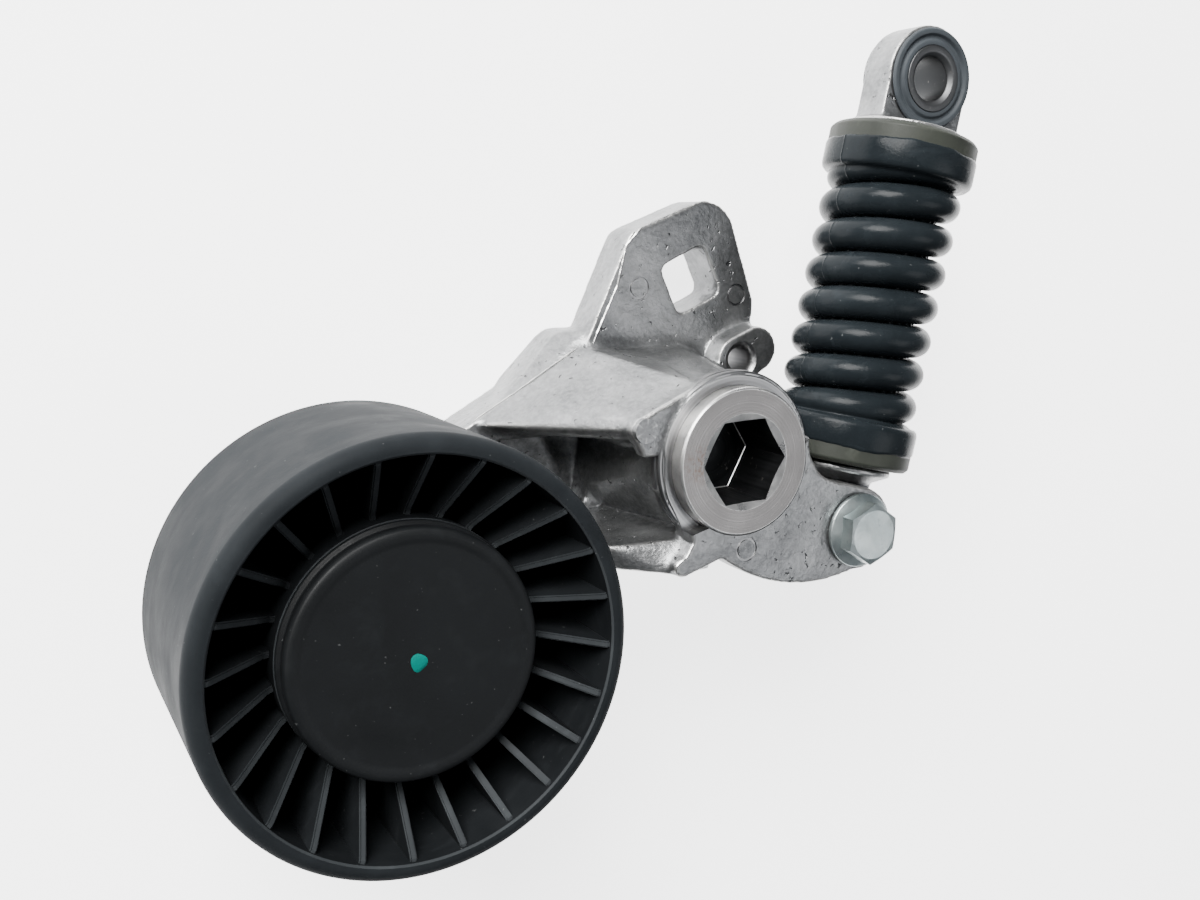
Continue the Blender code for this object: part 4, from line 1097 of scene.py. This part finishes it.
def fold_hollow(angle, s, low, high):
    """Inside of the same rolls, one wall thickness in, wide enough to hold the spring's wire."""
    phase = (s - FOLD_START_S) / FOLD_PITCH - angle / TAU
    across_roll = abs(phase - round(phase)) * FOLD_PITCH / (ROLL_HALF - BOOT_WALL)
    bulge = sqrt(max(0.0, 1 - across_roll ** 2))
    root = CREST_R - ROLL_DEPTH - 2 * BOOT_WALL
    radius = root + (CREST_R - BOOT_WALL - root) * bulge ** 0.6
    near_end = max(0.0, 1 - min(s - low, high - s) / FOLD_END)
    return radius + (CREST_R - BOOT_WALL - 0.7 - radius) * near_end, s


def boot_angles():
    """Even turns about the strut, with extra ones on the parting line."""
    even = [TAU * i / BOOT_SIDES for i in range(BOOT_SIDES)]
    line = radians(PARTING_DEG) % TAU
    extra = [line + radians(d) for d in (-1.1, -0.7, -0.35, 0, 0.35, 0.7, 1.1)]
    even = [a for a in even if abs((a - line + pi) % TAU - pi) > radians(1.5)]
    return sorted(even + [a % TAU for a in extra])


def build_boot():
    """One closed skin: lower cuff, folds, upper cuff, then back down the inside."""
    low, high = SEAT_LOW_S + CUFF_H, SEAT_HIGH_S - CUFF_H
    angles = boot_angles()
    line = radians(PARTING_DEG)
    rows = int((high - low) / FOLD_PITCH * FOLD_ROWS)
    bm = bmesh.new()
    rings = []

    def row(point_at, *more):
        """Loop of points whose radius and station come from point_at, raised on the line."""
        made = []
        for a in angles:
            r, s = point_at(a, *more)
            off_line = abs((a - line + pi) % TAU - pi)
            r += PARTING_H * max(0.0, 1 - off_line / radians(0.8))
            made.append(bm.verts.new((r * cos(a), r * sin(a), s)))
        rings.append(made)

    def cuff_point(a, r, s, seat, sense, seed):
        """Cuff surface at a height s over its seat; the bare lip is ragged."""
        spot = Vector((cos(a) * 2.2, sin(a) * 2.2, seed))
        ragged = 0.45 * (noise.noise(spot) + 0.5 * noise.noise(spot * 3.1))
        return r, seat + sense * (s + ragged * max(0.0, 1 - (s - CUFF_LIP) / 2.0))

    cover = [(SEAT_FACE_R - 0.5, CUFF_LIP + 0.5), (SEAT_FACE_R + 0.02, CUFF_LIP - 0.15),
            (CUFF_R - 0.12, CUFF_LIP + 0.1), (CUFF_R, CUFF_LIP + 0.5), (CUFF_R, 7),
            (CUFF_R, 9.4), (CUFF_R - 0.25, 10.3), (CUFF_R - 0.9, 10.9), (CUFF_R - 1.9, CUFF_H)]
    for r, s in cover:
        row(cuff_point, r, s, SEAT_LOW_S, 1, 1.7)
    for i in range(1, rows):
        row(fold_point, low + (high - low) * i / rows, low, high)
    for r, s in cover[::-1]:
        row(cuff_point, r, s, SEAT_HIGH_S, -1, 7.3)
    for depth in (5.3, SEAT_DEPTH + CLEAR):
        row(lambda a: (CUFF_R - 1.2, SEAT_HIGH_S - depth))
    inner_rows = rows // 2
    for i in range(inner_rows, -1, -1):
        row(fold_hollow, low + (high - low) * i / inner_rows, low, high)
    for depth in (SEAT_DEPTH + CLEAR, 5.3):
        row(lambda a: (CUFF_R - 1.2, SEAT_LOW_S + depth))
    for one, two in zip(rings, rings[1:] + rings[:1]):
        band(bm, one, two)
    show_sliding("rubber_boot_folded", outward(bm), GLOSS, "rubber_boot", "boot_rubber", low, high)


def show_sliding(name, bm, material, node, slot, low, high):
    """Show a piece round the strut between two stations, baked in place in the scene's frame."""
    ends = [tuple((Vector(LOWER_EYE) + Vector(STRUT_DIR) * s) * MM) for s in (low, high)]
    piece(name, bm, material, "strut_lower", [node], slot, ALONG_STRUT, sharp_deg=60.0,
            blend=("strut_upper", *ends))


def build_spring():
    """Coil spring inside the boot, an even helix whose ends stand against the seats."""
    start = SEAT_LOW_S + SEAT_T + SPRING_WIRE_R + CLEAR
    stop = SEAT_HIGH_S - SEAT_T - SPRING_WIRE_R - CLEAR
    steps = int((stop - start) / FOLD_PITCH * 40)
    path = []
    for i in range(steps + 1):
        s = start + (stop - start) * i / steps
        a = TAU * (s - FOLD_START_S) / FOLD_PITCH
        path.append(Vector((SPRING_R * cos(a), SPRING_R * sin(a), s)))
    show_sliding("coil_spring_wound", sweep(path, lambda i: SPRING_WIRE_R, 12), DARK_STEEL,
            "coil_spring", "spring_steel", start, stop)


def build_strut():
    build_strut_bolt()
    cyl_r = reach("lower_spring_seat", LOWER_EYE, STRUT_DIR)[0] - CLEAR
    top = reach("strut_cylinder", LOWER_EYE, STRUT_DIR)[3]
    barrel = laid(lathe([(0, 10.5), (9, 10.5), (14, SEAT_LOW_S - 1.8),
            (14, SEAT_LOW_S - CLEAR), (cyl_r, SEAT_LOW_S - CLEAR), (cyl_r, top),
            (6, top), (6, 21), (0, 21)], 96))
    build_eye("strut_cylinder_cast", "strut_cylinder", radius=12.4, neck_half=9.0,
            neck_end=SEAT_LOW_S - 1.0, extra=barrel, hole_r=10.2, spot=STRUT_SPOT,
            body="strut_lower")
    seat_top = SEAT_HIGH_S - STRUT_L
    flange = laid(disc(14.4, seat_top + CLEAR, seat_top + 1.3))
    build_eye("upper_eye_cast", "upper_eye", radius=12.5, neck_half=12.2, neck_end=-11.5,
            extra=flange, hole_r=10.3, spot=UPPER_SPOT, body="strut_upper")
    build_bush("lower", 9.9, 10.7, 0.4, STRUT_SPOT, LOWER_EYE, FACE_STEEL, "strut_lower", "arm")
    build_bush("upper", 10.0, 11.9, 1.0, UPPER_SPOT, UPPER_EYE, SHADED_BORE_STEEL, "strut_upper",
            "eye_sleeve")
    build_seat("lower_seat_pressed", "lower_spring_seat", SEAT_LOW_S, 1, "strut_lower")
    build_seat("upper_seat_pressed", "upper_spring_seat", SEAT_HIGH_S, -1, "strut_upper")
    build_boot()
    build_spring()
    for node, mat in (("piston_rod", FACE_STEEL), ("piston", FACE_STEEL), ("rod_guide", BRONZE),
            ("rod_seal", RUBBER)):
        coat(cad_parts[node], mat)


# ---- stage
CAMERA_AT = (-0.1574, 0.0545, 0.287)
CAMERA_RIGHT = (0.8857, 0, 0.4642)
CAMERA_UP = (0.0855, 0.983, -0.1631)
LENS_MM = 37.17
LIGHTS_AIM = (0, 0, 0.03)
LIGHTS = (      # name, place and size in metres, watts, colour
    ("window_light", (-0.7, 0.95, 0.8), 0.9, 82, (1, 0.995, 0.98)),
    ("ceiling_light", (0.62, -0.25, 1.15), 0.7, 5, (0.97, 0.98, 1)))
FLOOR_HALF = 4000.0


def build_stage():
    bm = bmesh.new()
    bmesh.ops.create_grid(bm, x_segments=2, y_segments=2, size=FLOOR_HALF)
    floor = to_object("table_top", bm, [paper_floor()])
    floor.data.transform(Matrix.Scale(MM, 4))
    soft_room()
    for light in LIGHTS:
        softbox(*light)
    data = bpy.data.cameras.new("camera")
    data.lens = LENS_MM
    data.clip_start, data.clip_end = 0.01, 20.0
    camera = in_scene("camera", data)
    right, up = Vector(CAMERA_RIGHT).normalized(), Vector(CAMERA_UP).normalized()
    turn = Matrix((right, up, right.cross(up))).transposed().to_4x4()
    camera.matrix_world = Matrix.Translation(CAMERA_AT) @ turn
    bpy.context.scene.camera = camera


def soft_room():
    """Dim ceiling and paler walls, so metal facing up stays darker than the table."""
    world = bpy.data.worlds.new("soft_room")
    bpy.context.scene.world = world
    world.use_nodes = True
    nodes, links = world.node_tree.nodes, world.node_tree.links
    heading = nodes.new("ShaderNodeTexCoord")
    split = nodes.new("ShaderNodeSeparateXYZ")
    ramp = nodes.new("ShaderNodeValToRGB")
    links.new(heading.outputs["Generated"], split.inputs[0])
    links.new(split.outputs["Z"], ramp.inputs["Fac"])
    wall, ceiling = ramp.color_ramp.elements
    wall.position, wall.color = 0.1, (0.86, 0.93, 1, 1)
    ceiling.position, ceiling.color = 0.75, (0.39, 0.42, 0.46, 1)
    background = nodes["Background"]
    links.new(ramp.outputs["Color"], background.inputs["Color"])
    background.inputs["Strength"].default_value = 0.3


def softbox(name, spot, size, power, colour):
    data = bpy.data.lights.new(name, "AREA")
    data.size = size
    data.energy = power
    data.color = colour
    light = in_scene(name, data)
    light.location = spot
    aim = Vector(LIGHTS_AIM) - Vector(spot)
    light.rotation_euler = aim.to_track_quat("-Z", "Y").to_euler()


build_pivot()
build_arm()
build_pulley()
build_strut()
build_stage()
